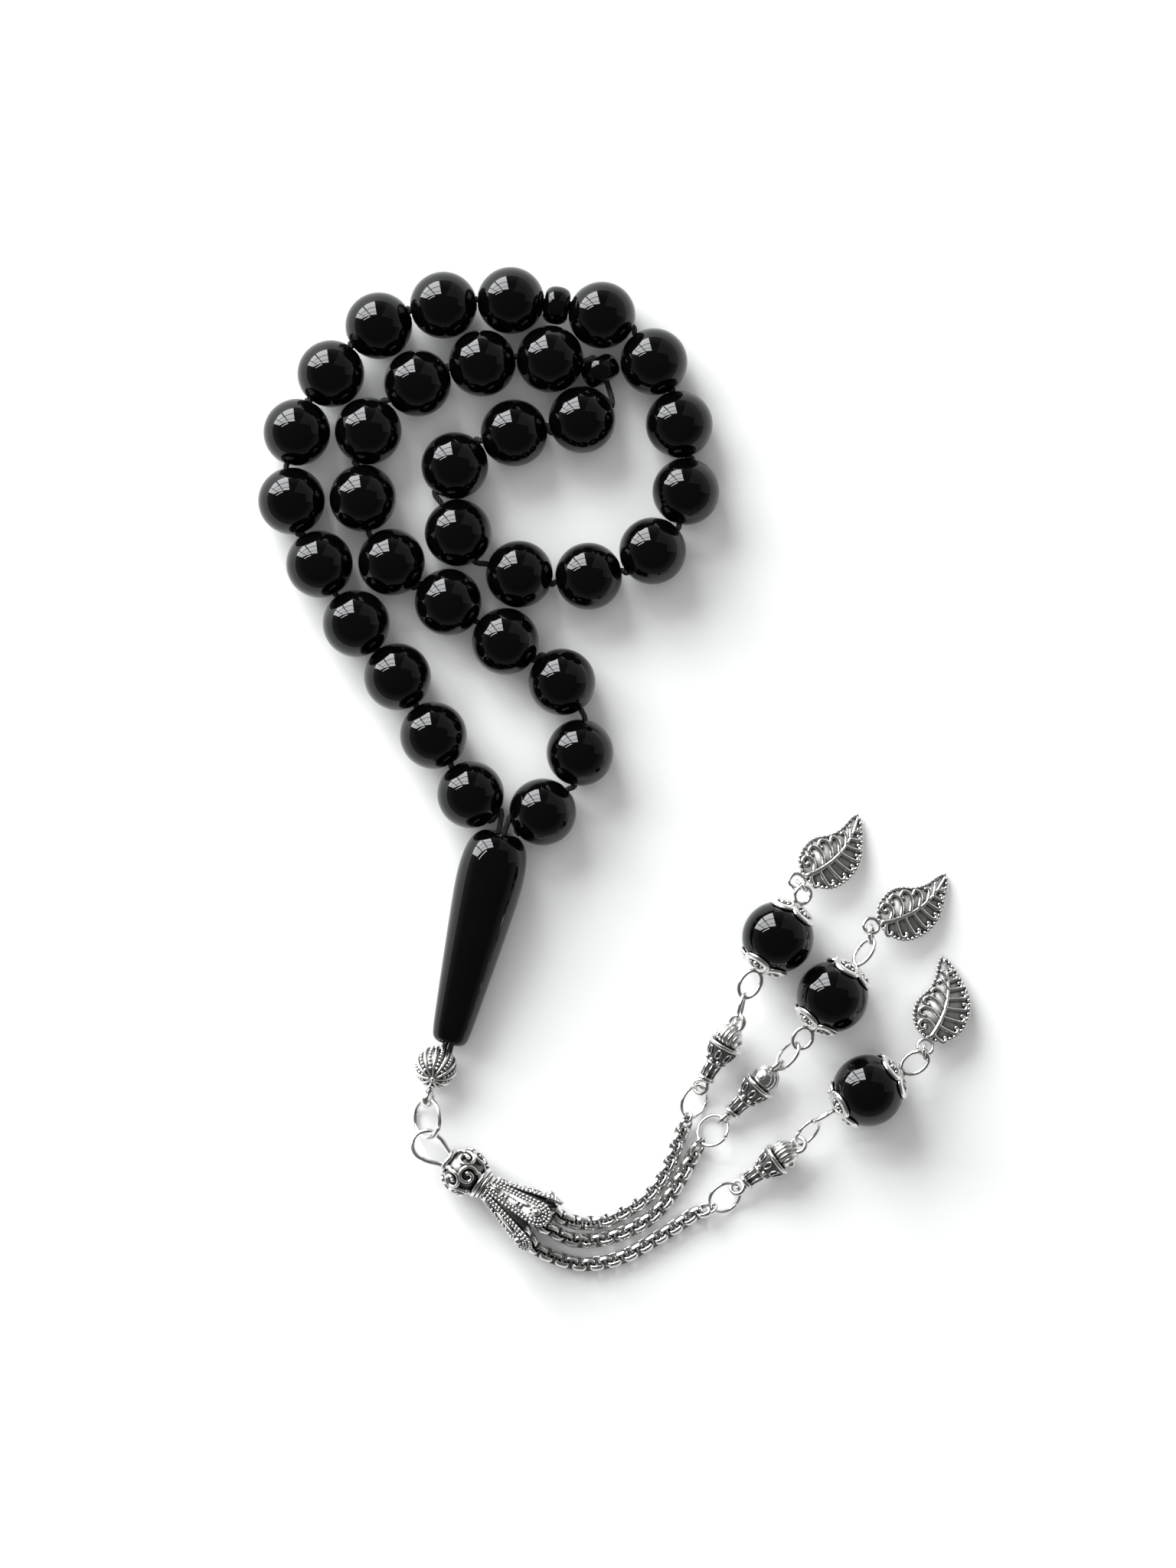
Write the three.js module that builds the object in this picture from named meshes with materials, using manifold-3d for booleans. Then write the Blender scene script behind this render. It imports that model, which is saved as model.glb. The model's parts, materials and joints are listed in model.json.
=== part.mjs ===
// A misbaha: thirty-three round beads in three groups of eleven, two small dividing rondelles, a long
// leader bead, and a silver tassel of three chains, each with a torch charm, a bead drop and a leaf.
// It lies flat. Units are millimetres, +Z is up, and z = 0 is the surface it lies on.
import * as THREE from "three";
import { mergeVertices } from "three/addons/utils/BufferGeometryUtils.js";
import Module from "manifold-3d";

const wasm = await Module();
wasm.setup();

// ---- Driving dimensions ----
const BEAD_DIAMETER = 9.9;
const BEAD_BORE = 2.6;
const BEAD_HEIGHT = BEAD_DIAMETER / 2; // the string runs at this height through every bead
const BEAD_SIDES = 12;
const BEAD_BANDS = 5; // an odd number, so that a flat band runs round the middle
const CORD_DIAMETER = 1;
const CORD_SIDES = 8;
const BEAD_REACH = 4.8; // the cord runs straight this far each side of a bead's centre
const RONDELLE_REACH = 2.15;
const RONDELLE_HEIGHT = 4.4;
const LEADER_BORE = 2.8;
const LEADER_SIDES = 14;
const LEG_OFFSET = 0.6; // the cord's two ends lie side by side in the leader, this far off its axis
const KNOT_DIAMETER = 3;
const TOP_LEAD = 0.8; // the cord runs straight this far out of the leader's top
const FOOT_LEAD = 0.5; // and this far inside its foot
const BALL_TOP = 2.4; // from the end ball's centre to the edge of its top hole
const WIRE_SIDES = 5;
const LOOP_STEPS = 9;
const RING_SIDES = 6;
const RING_STEPS = 12;
const BALL_SIDES = 12;
const TRUNK_SIDES = 14;
const CHARM_SIDES = 10;
const CHAIN_DIAMETER = 2.2;
const CHAIN_STEPS = 14;
const CHAIN_LINK = { radius: 0.75, wire: 0.45 };
const CHAIN_SETBACK = 0.18; // from an end link's wire to the chain's body
const TRUNK_RING = { radius: 2.95, wire: 0.75 };
const JUMP_RING = { radius: 2.5, wire: 0.5 };
const TORCH_EYE = { radius: 1.1, wire: 0.7 };
const TORCH_LENGTH = 11.3; // between the centres of its two eyes
const DROP_DIAMETER = 10.7;
const DROP_BORE = 1.8;
const DROP_SIDES = 12;
const DROP_BANDS = 7;
const PIN_WIRE = 0.6;
const PIN_SHAFT = 0.96;
const PIN_OVERRUN = 0.1; // how far a pin runs into its loops
const PIN_NECK = 0.6; // from a drop bead's end to its pin's loops
const LINK_WIDTH = 1.6; // half the width of the ring between a torch and a drop
const LEAF_EYE = { radius: 1.15, wire: 0.6 };
const LEAF_THICKNESS = 1;
const SHAFT_DIAMETER = 1.3;
const HOOK_RING = { radius: 1.4, wire: 0.6 };
const WIRE_PLAY = 0.05; // how far a closed ring is sunk into the loop that it is closed on

// ---- Where things lie ----
const MIDDLE = [0.3, -1.1, 0]; // brings the middle of the whole length and width over the origin

// The beads' centres in string order, from the leader's left side round to its right side. A third number
// turns a bead's hole, in degrees, where the string bends sharply.
const GROUPS = [
  [[-21.7, -2.6], [-27.3, 6.3], [-32.7, 15.1], [-38.9, 23.1], [-44.4, 32], [-48.6, 41.5],
    [-47.8, 51.8], [-42.7, 60.6], [-35.5, 67.8], [-25.8, 70.9], [-15.7, 71.6]],
  [[-2, 69.4, 7], [5.8, 62.4], [9.6, 53], [10.6, 42.9], [5.6, 34], [-4, 30.2], [-14.4, 30.5],
    [-23.6, 36.7], [-24.1, 46.8, -9], [-15.2, 51.7, -6], [-5, 53.7, -16]],
  [[-9.8, 62.8], [-20, 62.2], [-29.7, 59.2], [-37.1, 52], [-37.9, 41.9], [-33.6, 32.3],
    [-25.1, 26.3], [-16.5, 20.4], [-8, 14.3], [-5.3, 3.7], [-10.9, -5.2]],
];
const RONDELLES = [[-8.8, 70.9], [-2.25, 61.1]];
const LEADER = { top: [-17.1, -8.3, 5.72], foot: [-25.1, -40.1, 3] };
const END_BALL = { at: [-27, -43.6, 3.15], toward: [-28.2, -48.6, 2.8], roll: 125 };
const TRUNK = { ringAt: [-28.25, -51.4, 2.7], ringToward: [-28.3, -54.4, 2.7], ringRoll: 50 };
const PIN = { at: [-22.6, -59.3, 3.8], toward: [-12, -66.6, 4.9], roll: -10 };
const CONE_TOP = 3.9; // from the filigree ball's centre to the cone cap's top, along the pin
const HOOK_AT = 10.7; // from the filigree ball's centre to the hook ring's centre

// Each strand's pieces in order from the hook ring. A chain's points run from the cone's mouth to its end.
const STRANDS = [
  {
    hookAngle: 55,
    chain: [[-10, -64.6, 4.2], [-8.4, -66, 3], [-6.5, -66.9, 2], [-4.3, -67.2, 1.5], [-2.1, -67, 1.3],
      [0.1, -66.2, 1.2], [2.3, -65, 1.2], [4.4, -63.6, 1.2], [6, -61.9, 1.2], [7.3, -60, 1.2],
      [8.3, -58, 1.2], [9.2, -55.7, 1.2], [10, -53.6, 1.2]],
    jumpRing: { at: [11.9, -48.9, 2], heading: 67, roll: 44 },
    torch: { toward: [18.3, -37, 3.9], roll: -28 },
    linkRoll: 80,
    drop: { at: [24.4, -24, 5.4], heading: 59.3 },
    lowerLoop: { reach: 2.2, width: 1.5, roll: 10 },
    upperLoop: { reach: 1.35, width: 1.3, roll: 25 },
    tie: { width: 1.1, roll: 90 },
    leaf: { eye: [27.3, -15.6, 4.6], heading: 48.9, roll: 0 },
  },
  {
    hookAngle: 0,
    chain: [[-10.9, -67.4, 4.3], [-9, -68.5, 2.9], [-7, -69.5, 1.8], [-5, -69.9, 1.3], [-3, -69.8, 1.2],
      [-0.9, -69.4, 1.2], [1.2, -68.7, 1.2], [3.5, -67.6, 1.2], [5.6, -66.2, 1.2], [7.4, -64.3, 1.2],
      [8.9, -62.1, 1.2], [10.2, -60, 1.2], [11.4, -57.7, 1.2]],
    jumpRing: { at: [14.7, -53.2, 2], heading: 43, roll: -37 },
    torch: { toward: [24.2, -43.7, 3.9], roll: 70 },
    linkRoll: -50,
    drop: { at: [32.6, -32.9, 5.4], heading: 54.5 },
    lowerLoop: { reach: 1.7, width: 1.4, roll: 10 },
    upperLoop: { reach: 2.2, width: 1.4, roll: -45 },
    tie: { width: 1.1, roll: 75 },
    leaf: { eye: [38.5, -22.3, 4.3], heading: 36, roll: 0 },
  },
  {
    hookAngle: -55,
    chain: [[-13.1, -68.9, 3.9], [-12, -70.8, 2.5], [-10, -72, 1.5], [-7.5, -72.9, 1.2], [-4.8, -73.4, 1.2],
      [-2.2, -73.2, 1.2], [0, -72.7, 1.2], [2.5, -71.7, 1.2], [4.9, -70.3, 1.2], [7.4, -68.8, 1.2],
      [9.9, -67.2, 1.2], [12, -65.8, 1.2]],
    jumpRing: { at: [16.5, -63.3, 2], heading: 40, roll: 37 },
    torch: { toward: [27.9, -55, 3.9], roll: -28 },
    linkRoll: 45,
    drop: { at: [37.9, -47, 5.4], heading: 30.3 },
    lowerLoop: { reach: 1.7, width: 1.4, roll: 90 },
    upperLoop: { reach: 2.2, width: 1.5, roll: 0 },
    tie: { width: 1.1, roll: 75 },
    leaf: { eye: [46.6, -40.5, 4.3], heading: 80.3, roll: 0 },
  },
];

// ---- Materials ----
const ONYX = new THREE.MeshStandardMaterial({ color: 0x08080a, roughness: 0.08, metalness: 0 });
const SILVER = new THREE.MeshStandardMaterial({ color: 0xb8b6b2, roughness: 0.3, metalness: 1 });
const CORD = new THREE.MeshStandardMaterial({ color: 0x101012, roughness: 0.7, metalness: 0 });

// ---- Helpers ----
const UP = new THREE.Vector3(0, 0, 1);
const vector = (p) => new THREE.Vector3(...p);
const onString = ([x, y], height = BEAD_HEIGHT) => new THREE.Vector3(x, y, height);

// A direction in the plan, degrees from +X.
function headingOf(degrees) {
  const turn = THREE.MathUtils.degToRad(degrees);
  return new THREE.Vector3(Math.cos(turn), Math.sin(turn), 0);
}

// The placing of a piece modelled along its own +X: at a point, toward another, rolled about that line.
function placing(at, toward, roll = 0) {
  const along = toward.clone().sub(at).normalize();
  const left = UP.clone().cross(along).normalize();
  const up = along.clone().cross(left);
  const turn = new THREE.Matrix4().makeRotationX(THREE.MathUtils.degToRad(roll));
  return new THREE.Matrix4().makeBasis(along, left, up).setPosition(at).multiply(turn);
}

function solid(geometry) {
  const bare = geometry.clone();
  bare.deleteAttribute("normal");
  bare.deleteAttribute("uv");
  const merged = mergeVertices(bare, 1e-4);
  return new wasm.Manifold(new wasm.Mesh({
    numProp: 3,
    vertProperties: merged.attributes.position.array,
    triVerts: merged.index.array,
  }));
}

function geometryOf(body) {
  const mesh = body.getMesh();
  const geometry = new THREE.BufferGeometry();
  geometry.setAttribute("position", new THREE.BufferAttribute(mesh.vertProperties, 3));
  geometry.setIndex(new THREE.BufferAttribute(mesh.triVerts, 1));
  return geometry;
}

function joined(...geometries) {
  const bodies = geometries.map(solid);
  return geometryOf(bodies.reduce((whole, body) => whole.add(body)));
}

const group = new THREE.Group();
group.position.set(...MIDDLE);

function add(name, geometry, material, place = new THREE.Matrix4()) {
  const mesh = new THREE.Mesh(geometry, material);
  mesh.name = name;
  mesh.applyMatrix4(place);
  group.add(mesh);
}

// A turned solid about X from outline points [along, radius], a flat side down. Radii are across the flats.
// Without a bore its ends are closed on the axis.
function turned(outline, sides, bore = 0) {
  const widen = 1 / Math.cos(Math.PI / sides);
  const inner = (bore / 2) * widen;
  const points = outline.map(([along, radius]) => new THREE.Vector2(radius * widen, along));
  points.unshift(new THREE.Vector2(inner, outline[0][0]));
  points.push(new THREE.Vector2(inner, outline.at(-1)[0]));
  if (bore > 0) points.push(points[0].clone());
  const geometry = new THREE.LatheGeometry(points, sides);
  geometry.rotateZ(-Math.PI / 2);
  geometry.rotateX(Math.PI / sides);
  return geometry;
}

// A rod along X.
function rod(from, to, diameter, sides) {
  return turned([[from, diameter / 2], [to, diameter / 2]], sides);
}

// A wire ring in the XY plane.
function ring({ radius, wire }, sides = WIRE_SIDES, steps = LOOP_STEPS) {
  return new THREE.TorusGeometry(radius, wire / 2, sides, steps);
}

// An oval wire loop in the XY plane, its half length and half width measured to the wire's middle.
function oval(reach, width, wire) {
  const geometry = new THREE.TorusGeometry(1, wire / 2, WIRE_SIDES, LOOP_STEPS);
  const place = geometry.attributes.position;
  const point = new THREE.Vector3();
  for (let i = 0; i < place.count; i += 1) {
    point.fromBufferAttribute(place, i);
    const angle = Math.atan2(point.y, point.x);
    const out = Math.hypot(point.x, point.y) - 1;
    point.x = Math.cos(angle) * (reach + out);
    point.y = Math.sin(angle) * (width + out);
    place.setXYZ(i, point.x, point.y, point.z);
  }
  return geometry;
}

// A path whose steps fall on its own points, so that a tube along it bends only there.
class Route extends THREE.Curve {
  constructor(points) {
    super();
    this.points = points;
  }

  getPoint(t) {
    const spans = this.points.length - 1;
    const span = Math.min(Math.floor(t * spans), spans - 1);
    return this.points[span].clone().lerp(this.points[span + 1], t * spans - span);
  }

  getSpacedPoints(divisions) {
    return this.getPoints(divisions);
  }

  getTangentAt(t) {
    return this.getTangent(t);
  }
}

function tube(path, steps, diameter, sides) {
  const section = new THREE.Shape();
  for (let i = 0; i < sides; i += 1) {
    const angle = ((i + 0.5) / sides) * 2 * Math.PI;
    const x = (Math.cos(angle) * diameter) / 2;
    const y = (Math.sin(angle) * diameter) / 2;
    if (i === 0) section.moveTo(x, y);
    else section.lineTo(x, y);
  }
  section.closePath();
  return new THREE.ExtrudeGeometry(section, { steps, extrudePath: path, curveSegments: 1 });
}

// ---- The string: beads, rondelles and cord ----
const leaderTop = vector(LEADER.top);
const leaderFoot = vector(LEADER.foot);
const threaded = [];
GROUPS.forEach((centres, index) => {
  centres.forEach(([x, y, turn = 0]) => {
    threaded.push({ at: onString([x, y]), reach: BEAD_REACH, turn, bead: true });
  });
  if (index < RONDELLES.length) {
    threaded.push({ at: onString(RONDELLES[index], RONDELLE_HEIGHT), reach: RONDELLE_REACH, turn: 0 });
  }
});

// Each piece lies along the line that halves the angle between its two neighbours.
threaded.forEach((piece, index) => {
  const before = index > 0 ? threaded[index - 1].at : leaderTop;
  const after = index < threaded.length - 1 ? threaded[index + 1].at : leaderTop;
  const arriving = piece.at.clone().sub(before).setZ(0).normalize();
  const leaving = after.clone().sub(piece.at).setZ(0).normalize();
  piece.along = arriving.add(leaving).normalize();
  piece.along.applyAxisAngle(UP, THREE.MathUtils.degToRad(piece.turn));
});

function beadGeometry(diameter, bore, sides, bands) {
  const endAngle = Math.acos(bore / diameter);
  const half = endAngle / bands;
  const radius = diameter / 2 / Math.cos(half);
  const outline = [];
  for (let i = 0; i <= bands; i += 1) {
    const angle = -endAngle + 2 * half * i;
    outline.push([radius * Math.sin(angle), radius * Math.cos(angle)]);
  }
  const end = (diameter / 2) * Math.sin(endAngle);
  outline[0] = [-end, bore / 2];
  outline[bands] = [end, bore / 2];
  return turned(outline, sides, bore);
}

// A small oval barrel.
const RONDELLE_OUTLINE = [[-1.9, 1.7], [-1.3, 2.5], [-0.5, 2.9], [0.5, 2.9], [1.3, 2.5], [1.9, 1.7]];

let beadNumber = 0;
let rondelleNumber = 0;
threaded.forEach((piece) => {
  const place = placing(piece.at, piece.at.clone().add(piece.along));
  if (piece.bead) {
    beadNumber += 1;
    const name = `bead_${String(beadNumber).padStart(2, "0")}`;
    add(name, beadGeometry(BEAD_DIAMETER, BEAD_BORE, BEAD_SIDES, BEAD_BANDS), ONYX, place);
  } else {
    rondelleNumber += 1;
    add(`rondelle_${rondelleNumber}`, turned(RONDELLE_OUTLINE, BEAD_SIDES, BEAD_BORE), ONYX, place);
  }
});

const leaderAxis = leaderFoot.clone().sub(leaderTop).normalize();
const ballCentre = vector(END_BALL.at);
const ballTop = ballCentre.clone().add(ballCentre.clone().sub(vector(END_BALL.toward)).setLength(BALL_TOP));

// One of the cord's two ends, from its knot up through the leader to the leader's top.
function leg(side) {
  const across = UP.clone().cross(leaderAxis).normalize().multiplyScalar(side * LEG_OFFSET);
  const outOfTop = leaderTop.clone().addScaledVector(leaderAxis, -TOP_LEAD);
  const intoFoot = leaderFoot.clone().addScaledVector(leaderAxis, -FOOT_LEAD);
  const stops = [ballCentre, ballTop, intoFoot, outOfTop];
  return stops.map((stop) => stop.clone().add(across));
}

const throughBeads = threaded.flatMap(({ at, reach, along }) => [
  at.clone().addScaledVector(along, -reach),
  at.clone().addScaledVector(along, reach),
]);
const cordPoints = [...leg(-1), ...throughBeads, ...leg(1).reverse()];
const knot = new THREE.SphereGeometry(KNOT_DIAMETER / 2, 8, 6);
knot.translate(...END_BALL.at);
const cord = tube(new Route(cordPoints), cordPoints.length - 1, CORD_DIAMETER, CORD_SIDES);
add("cord_loop", joined(cord, knot), CORD);

const LEADER_OUTLINE = [[0, 2.3], [0.7, 3.4], [2.2, 4.5], [4.2, 4.95], [6.8, 5.05], [12, 4.75], [20, 4],
  [28, 3.2], [31.6, 2.75], [32.8, 2]];
add("imame", turned(LEADER_OUTLINE, LEADER_SIDES, LEADER_BORE), ONYX, placing(leaderTop, leaderFoot));

// ---- The trunk: ball, ring, pin, filigree ball and cone cap ----
const BALL_OUTLINE = [[-2.8, 1.5], [-2.4, 2], [-1.1, 2.8], [0.3, 3], [1.6, 2.55], [2.6, 1.4], [3, 0.6]];
const BALL_HOLLOW = [[-3.2, 1.4], [-1.8, 1.4], [-1.2, 1.9], [1, 1.9], [1.6, 0.8]];
const BALL_BAIL = { radius: 1.15, wire: 0.6 };
const BAIL_AT = 4.95; // from the end ball's centre to its bail's
const BAIL_NECK = { from: 2.4, to: 4.1, diameter: 1 };

function endBallGeometry() {
  const shell = turned(BALL_OUTLINE, BALL_SIDES);
  const hollow = turned(BALL_HOLLOW, BALL_SIDES);
  const bail = ring(BALL_BAIL);
  bail.translate(BAIL_AT, 0, 0);
  const neck = rod(BAIL_NECK.from, BAIL_NECK.to, BAIL_NECK.diameter, RING_SIDES);
  const whole = solid(shell).add(solid(neck)).subtract(solid(hollow)).add(solid(bail));
  return geometryOf(whole);
}

add("end_ball", endBallGeometry(), SILVER, placing(ballCentre, vector(END_BALL.toward), END_BALL.roll));
add("oval_ring", ring(TRUNK_RING, RING_SIDES, RING_STEPS), SILVER,
  placing(vector(TRUNK.ringAt), vector(TRUNK.ringToward), TRUNK.ringRoll));

const pinPlace = placing(vector(PIN.at), vector(PIN.toward), PIN.roll);

// The pin's pear-shaped loop: one leg's points along and across the pin, and the round end that they run to.
const PIN_LEG = [[-2.9, 0.2], [-3.9, 0.75], [-5, 1.55], [-6.1, 2.1]];
const PIN_BOW = { middle: -7, radius: 2.15, step: 30 };
const SHAFT_START = -3.3;

function tasselPinGeometry() {
  const round = [];
  for (let angle = 90; angle <= 180; angle += PIN_BOW.step) {
    const turn = THREE.MathUtils.degToRad(angle);
    round.push([PIN_BOW.middle + PIN_BOW.radius * Math.cos(turn), PIN_BOW.radius * Math.sin(turn)]);
  }
  const half = [...PIN_LEG, ...round];
  const other = half.slice(0, -1).reverse().map(([x, y]) => [x, -y]);
  const points = [...half, ...other].map(([x, y]) => new THREE.Vector3(x, y, 0));
  const loop = tube(new Route(points), points.length - 1, TRUNK_RING.wire, RING_SIDES);
  const shaft = rod(SHAFT_START, HOOK_AT - HOOK_RING.radius, SHAFT_DIAMETER, CORD_SIDES);
  const hook = ring(HOOK_RING, WIRE_SIDES, RING_STEPS);
  hook.translate(HOOK_AT, 0, 0);
  return joined(loop, shaft, hook);
}

add("tassel_pin", tasselPinGeometry(), SILVER, pinPlace);

const FILIGREE_OUTLINE = [[-3.1, 1.9], [-2.7, 2.1], [-2.4, 2.6], [-1.2, 3.5], [0, 3.7], [1.2, 3.5],
  [2.4, 2.7], [2.7, 2.3], [3.3, 2.2]];
const FILIGREE_BORE = 2.1;
add("filigree_ball", turned(FILIGREE_OUTLINE, TRUNK_SIDES, FILIGREE_BORE), SILVER, pinPlace);

// The cone cap's outside, and the inside that is cut from it.
const CONE_OUTER = [[0, 1.7], [1.2, 1.9], [4.5, 3.05], [8.2, 4.3], [9.4, 4.8]];
const CONE_INNER = [[-1, 0.95], [0.8, 0.95], [0.8, 1.35], [4.5, 2.6], [8.2, 3.85], [10.4, 4.6]];

function coneCapGeometry() {
  const outer = solid(turned(CONE_OUTER, TRUNK_SIDES));
  const inner = solid(turned(CONE_INNER, TRUNK_SIDES));
  return geometryOf(outer.subtract(inner));
}

const conePlace = pinPlace.clone().multiply(new THREE.Matrix4().makeTranslation(CONE_TOP, 0, 0));
add("cone_cap", coneCapGeometry(), SILVER, conePlace);

// ---- The three strands ----
// The box chain hooks on the pin's end ring with one link, and takes the jump ring with another.
function chainGeometry(strand) {
  const turn = THREE.MathUtils.degToRad(strand.hookAngle);
  const fromHook = (distance) => new THREE.Vector3(HOOK_AT, 0, 0)
    .add(new THREE.Vector3(Math.cos(turn), Math.sin(turn), 0).multiplyScalar(distance))
    .applyMatrix4(pinPlace);
  const start = fromHook(HOOK_RING.radius);
  const bodyStart = fromHook(HOOK_RING.radius + CHAIN_LINK.radius + CHAIN_SETBACK);
  const hookLink = ring(CHAIN_LINK);
  hookLink.applyMatrix4(placing(start, bodyStart, 90 + PIN.roll));
  const towardRing = headingOf(strand.jumpRing.heading);
  const end = vector(strand.jumpRing.at).addScaledVector(towardRing, -JUMP_RING.radius);
  const last = vector(strand.chain.at(-1));
  const bodyEnd = end.clone().add(last.sub(end).setLength(CHAIN_LINK.radius + CHAIN_SETBACK));
  const path = new THREE.CatmullRomCurve3([bodyStart, ...strand.chain.map(vector), bodyEnd]);
  const body = tube(path, CHAIN_STEPS, CHAIN_DIAMETER, CORD_SIDES);
  const endLink = ring(CHAIN_LINK);
  endLink.applyMatrix4(placing(end, vector(strand.jumpRing.at), 90 + strand.jumpRing.roll));
  return joined(hookLink, body, endLink);
}

// The torch's handle, its waist, its flared cup and its flame.
const TORCH_OUTLINE = [[0.9, 0.7], [1.5, 1.35], [2, 1.35], [2.2, 0.85], [4.1, 1], [4.5, 1.55], [5, 1.5],
  [7.1, 2.5], [7.5, 2.6], [7.6, 2], [9.1, 2.1], [10.1, 1.3], [10.4, 0.5]];

function torchGeometry() {
  const lowerEye = ring(TORCH_EYE);
  const upperEye = ring(TORCH_EYE);
  upperEye.translate(TORCH_LENGTH, 0, 0);
  return joined(turned(TORCH_OUTLINE, CHARM_SIDES), lowerEye, upperEye);
}

// A closed wire ring whose ends' wire middles are at two points.
function closedRing(from, to, width, roll) {
  const geometry = oval(from.distanceTo(to) / 2, width, JUMP_RING.wire);
  geometry.applyMatrix4(placing(from.clone().lerp(to, 0.5), to, roll));
  return geometry;
}

// A petal cap, from its hollow that faces the bead out to its rim and back to its top.
const CAP_OUTLINE = [[5.78, 0.45], [5.54, 1.7], [4.77, 3.3], [4.9, 3.6], [5.85, 1.75], [6.1, 0.9]];

// The pin through a drop bead, with a petal cap and a loop at each end and a ring closed on each loop.
function dropPinGeometry(strand, place, torchEye) {
  const half = DROP_DIAMETER / 2;
  const neck = half + PIN_NECK;
  const pieces = [rod(-neck - PIN_OVERRUN, neck + PIN_OVERRUN, PIN_SHAFT, RING_SIDES)];
  for (const [side, loop] of [[-1, strand.lowerLoop], [1, strand.upperLoop]]) {
    const wireLoop = oval(loop.reach, loop.width, PIN_WIRE);
    wireLoop.rotateX(THREE.MathUtils.degToRad(loop.roll));
    wireLoop.translate(side * (neck + loop.reach), 0, 0);
    pieces.push(wireLoop);
    const cap = turned(CAP_OUTLINE, CHARM_SIDES);
    if (side < 0) cap.rotateY(Math.PI);
    pieces.push(cap);
  }
  const contact = (PIN_WIRE + JUMP_RING.wire) / 2 - WIRE_PLAY;
  const onPin = (along) => new THREE.Vector3(along, 0, 0).applyMatrix4(place);
  const lowerEnd = onPin(-neck - 2 * strand.lowerLoop.reach + contact);
  const upperEnd = onPin(neck + 2 * strand.upperLoop.reach - contact);
  const link = closedRing(torchEye, lowerEnd, LINK_WIDTH, strand.linkRoll);
  const tie = closedRing(upperEnd, vector(strand.leaf.eye), strand.tie.width, strand.tie.roll);
  const back = place.clone().invert();
  for (const piece of [link, tie]) {
    piece.applyMatrix4(back);
    pieces.push(piece);
  }
  return joined(...pieces);
}

// The leaf's outline, from its base round its narrow side to its tip and back round its full side.
const LEAF_NARROW = [[0.2, 1.1], [1.4, 2.4], [3.5, 3], [5.5, 2.6], [7.4, 1.2], [9.3, 0.5], [11.4, 0.4],
  [12.5, 0.3]];
const LEAF_FULL = [[12.3, -0.7], [10.7, -2.4], [8.9, -3.9], [7.1, -4.9], [4.9, -5.3], [2.6, -4.9], [1, -4],
  [0, -2.5], [-0.3, -1.2]];
const LEAF_SHIFT = [1.35, -0.3]; // from the eye's centre to the blade's base, along and across
const LEAF_REACH = 13.9; // from its eye's centre to its tip
const LEAF_TIP_HEIGHT = 0.75;

function leafGeometry() {
  const outline = new THREE.Shape([...LEAF_NARROW, ...LEAF_FULL].map(([x, y]) => new THREE.Vector2(x, y)));
  const blade = new THREE.ExtrudeGeometry(outline, { depth: LEAF_THICKNESS, bevelEnabled: false });
  blade.translate(...LEAF_SHIFT, -LEAF_THICKNESS / 2);
  return joined(blade, ring(LEAF_EYE));
}

STRANDS.forEach((strand, index) => {
  const number = index + 1;
  const { jumpRing, torch, drop, leaf } = strand;
  const ringAt = vector(jumpRing.at);
  const torchFrom = ringAt.clone().addScaledVector(headingOf(jumpRing.heading), JUMP_RING.radius);
  const torchPlace = placing(torchFrom, vector(torch.toward), torch.roll);
  const torchEye = new THREE.Vector3(TORCH_LENGTH, 0, 0).applyMatrix4(torchPlace);
  const dropPlace = placing(vector(drop.at), vector(drop.at).add(headingOf(drop.heading)));
  const leafEye = vector(leaf.eye);
  const leafTip = leafEye.clone().addScaledVector(headingOf(leaf.heading), LEAF_REACH).setZ(LEAF_TIP_HEIGHT);
  add(`chain_${number}`, chainGeometry(strand), SILVER);
  add(`jump_ring_${number}`, ring(JUMP_RING, RING_SIDES, RING_STEPS), SILVER,
    placing(ringAt, torchFrom, jumpRing.roll));
  add(`torch_${number}`, torchGeometry(), SILVER, torchPlace);
  add(`drop_pin_${number}`, dropPinGeometry(strand, dropPlace, torchEye), SILVER, dropPlace);
  const dropBead = beadGeometry(DROP_DIAMETER, DROP_BORE, DROP_SIDES, DROP_BANDS);
  add(`drop_bead_${number}`, dropBead, ONYX, dropPlace);
  add(`leaf_${number}`, leafGeometry(), SILVER, placing(leafEye, leafTip, leaf.roll));
});

export default group;
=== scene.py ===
"""The looks of a misbaha: polished black beads on a cord, and an antiqued silver tassel.

Pieces are modelled in millimetres along their own X and put in the row frame, in metres, at the places that
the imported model's joints give."""
import json
import math

import bpy
import numpy as np
from mathutils import Matrix, Vector


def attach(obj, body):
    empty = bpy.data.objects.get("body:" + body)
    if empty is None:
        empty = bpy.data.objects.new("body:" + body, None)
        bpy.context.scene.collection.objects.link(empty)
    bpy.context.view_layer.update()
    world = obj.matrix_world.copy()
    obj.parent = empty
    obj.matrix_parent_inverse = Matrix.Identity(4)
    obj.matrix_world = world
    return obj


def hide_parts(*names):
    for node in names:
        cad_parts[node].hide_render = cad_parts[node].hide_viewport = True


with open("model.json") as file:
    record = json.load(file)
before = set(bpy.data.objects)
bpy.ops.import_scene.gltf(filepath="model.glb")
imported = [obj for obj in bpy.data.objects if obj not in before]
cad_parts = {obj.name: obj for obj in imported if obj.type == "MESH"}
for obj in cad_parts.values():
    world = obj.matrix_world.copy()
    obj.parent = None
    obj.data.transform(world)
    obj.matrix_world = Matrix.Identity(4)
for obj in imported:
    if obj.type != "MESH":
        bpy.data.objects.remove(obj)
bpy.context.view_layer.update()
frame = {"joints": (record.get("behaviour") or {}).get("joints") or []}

# ---- Driving dimensions, in millimetres ----
MM = 0.001
BEAD_RADIUS = 5.05
BEAD_BORE = 0.95
BORE_EDGE = 0.12  # how much wider a bore's mouth is than its inside
LEADER_LENGTH = 32.8
CORD_RADIUS = 0.42
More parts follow.
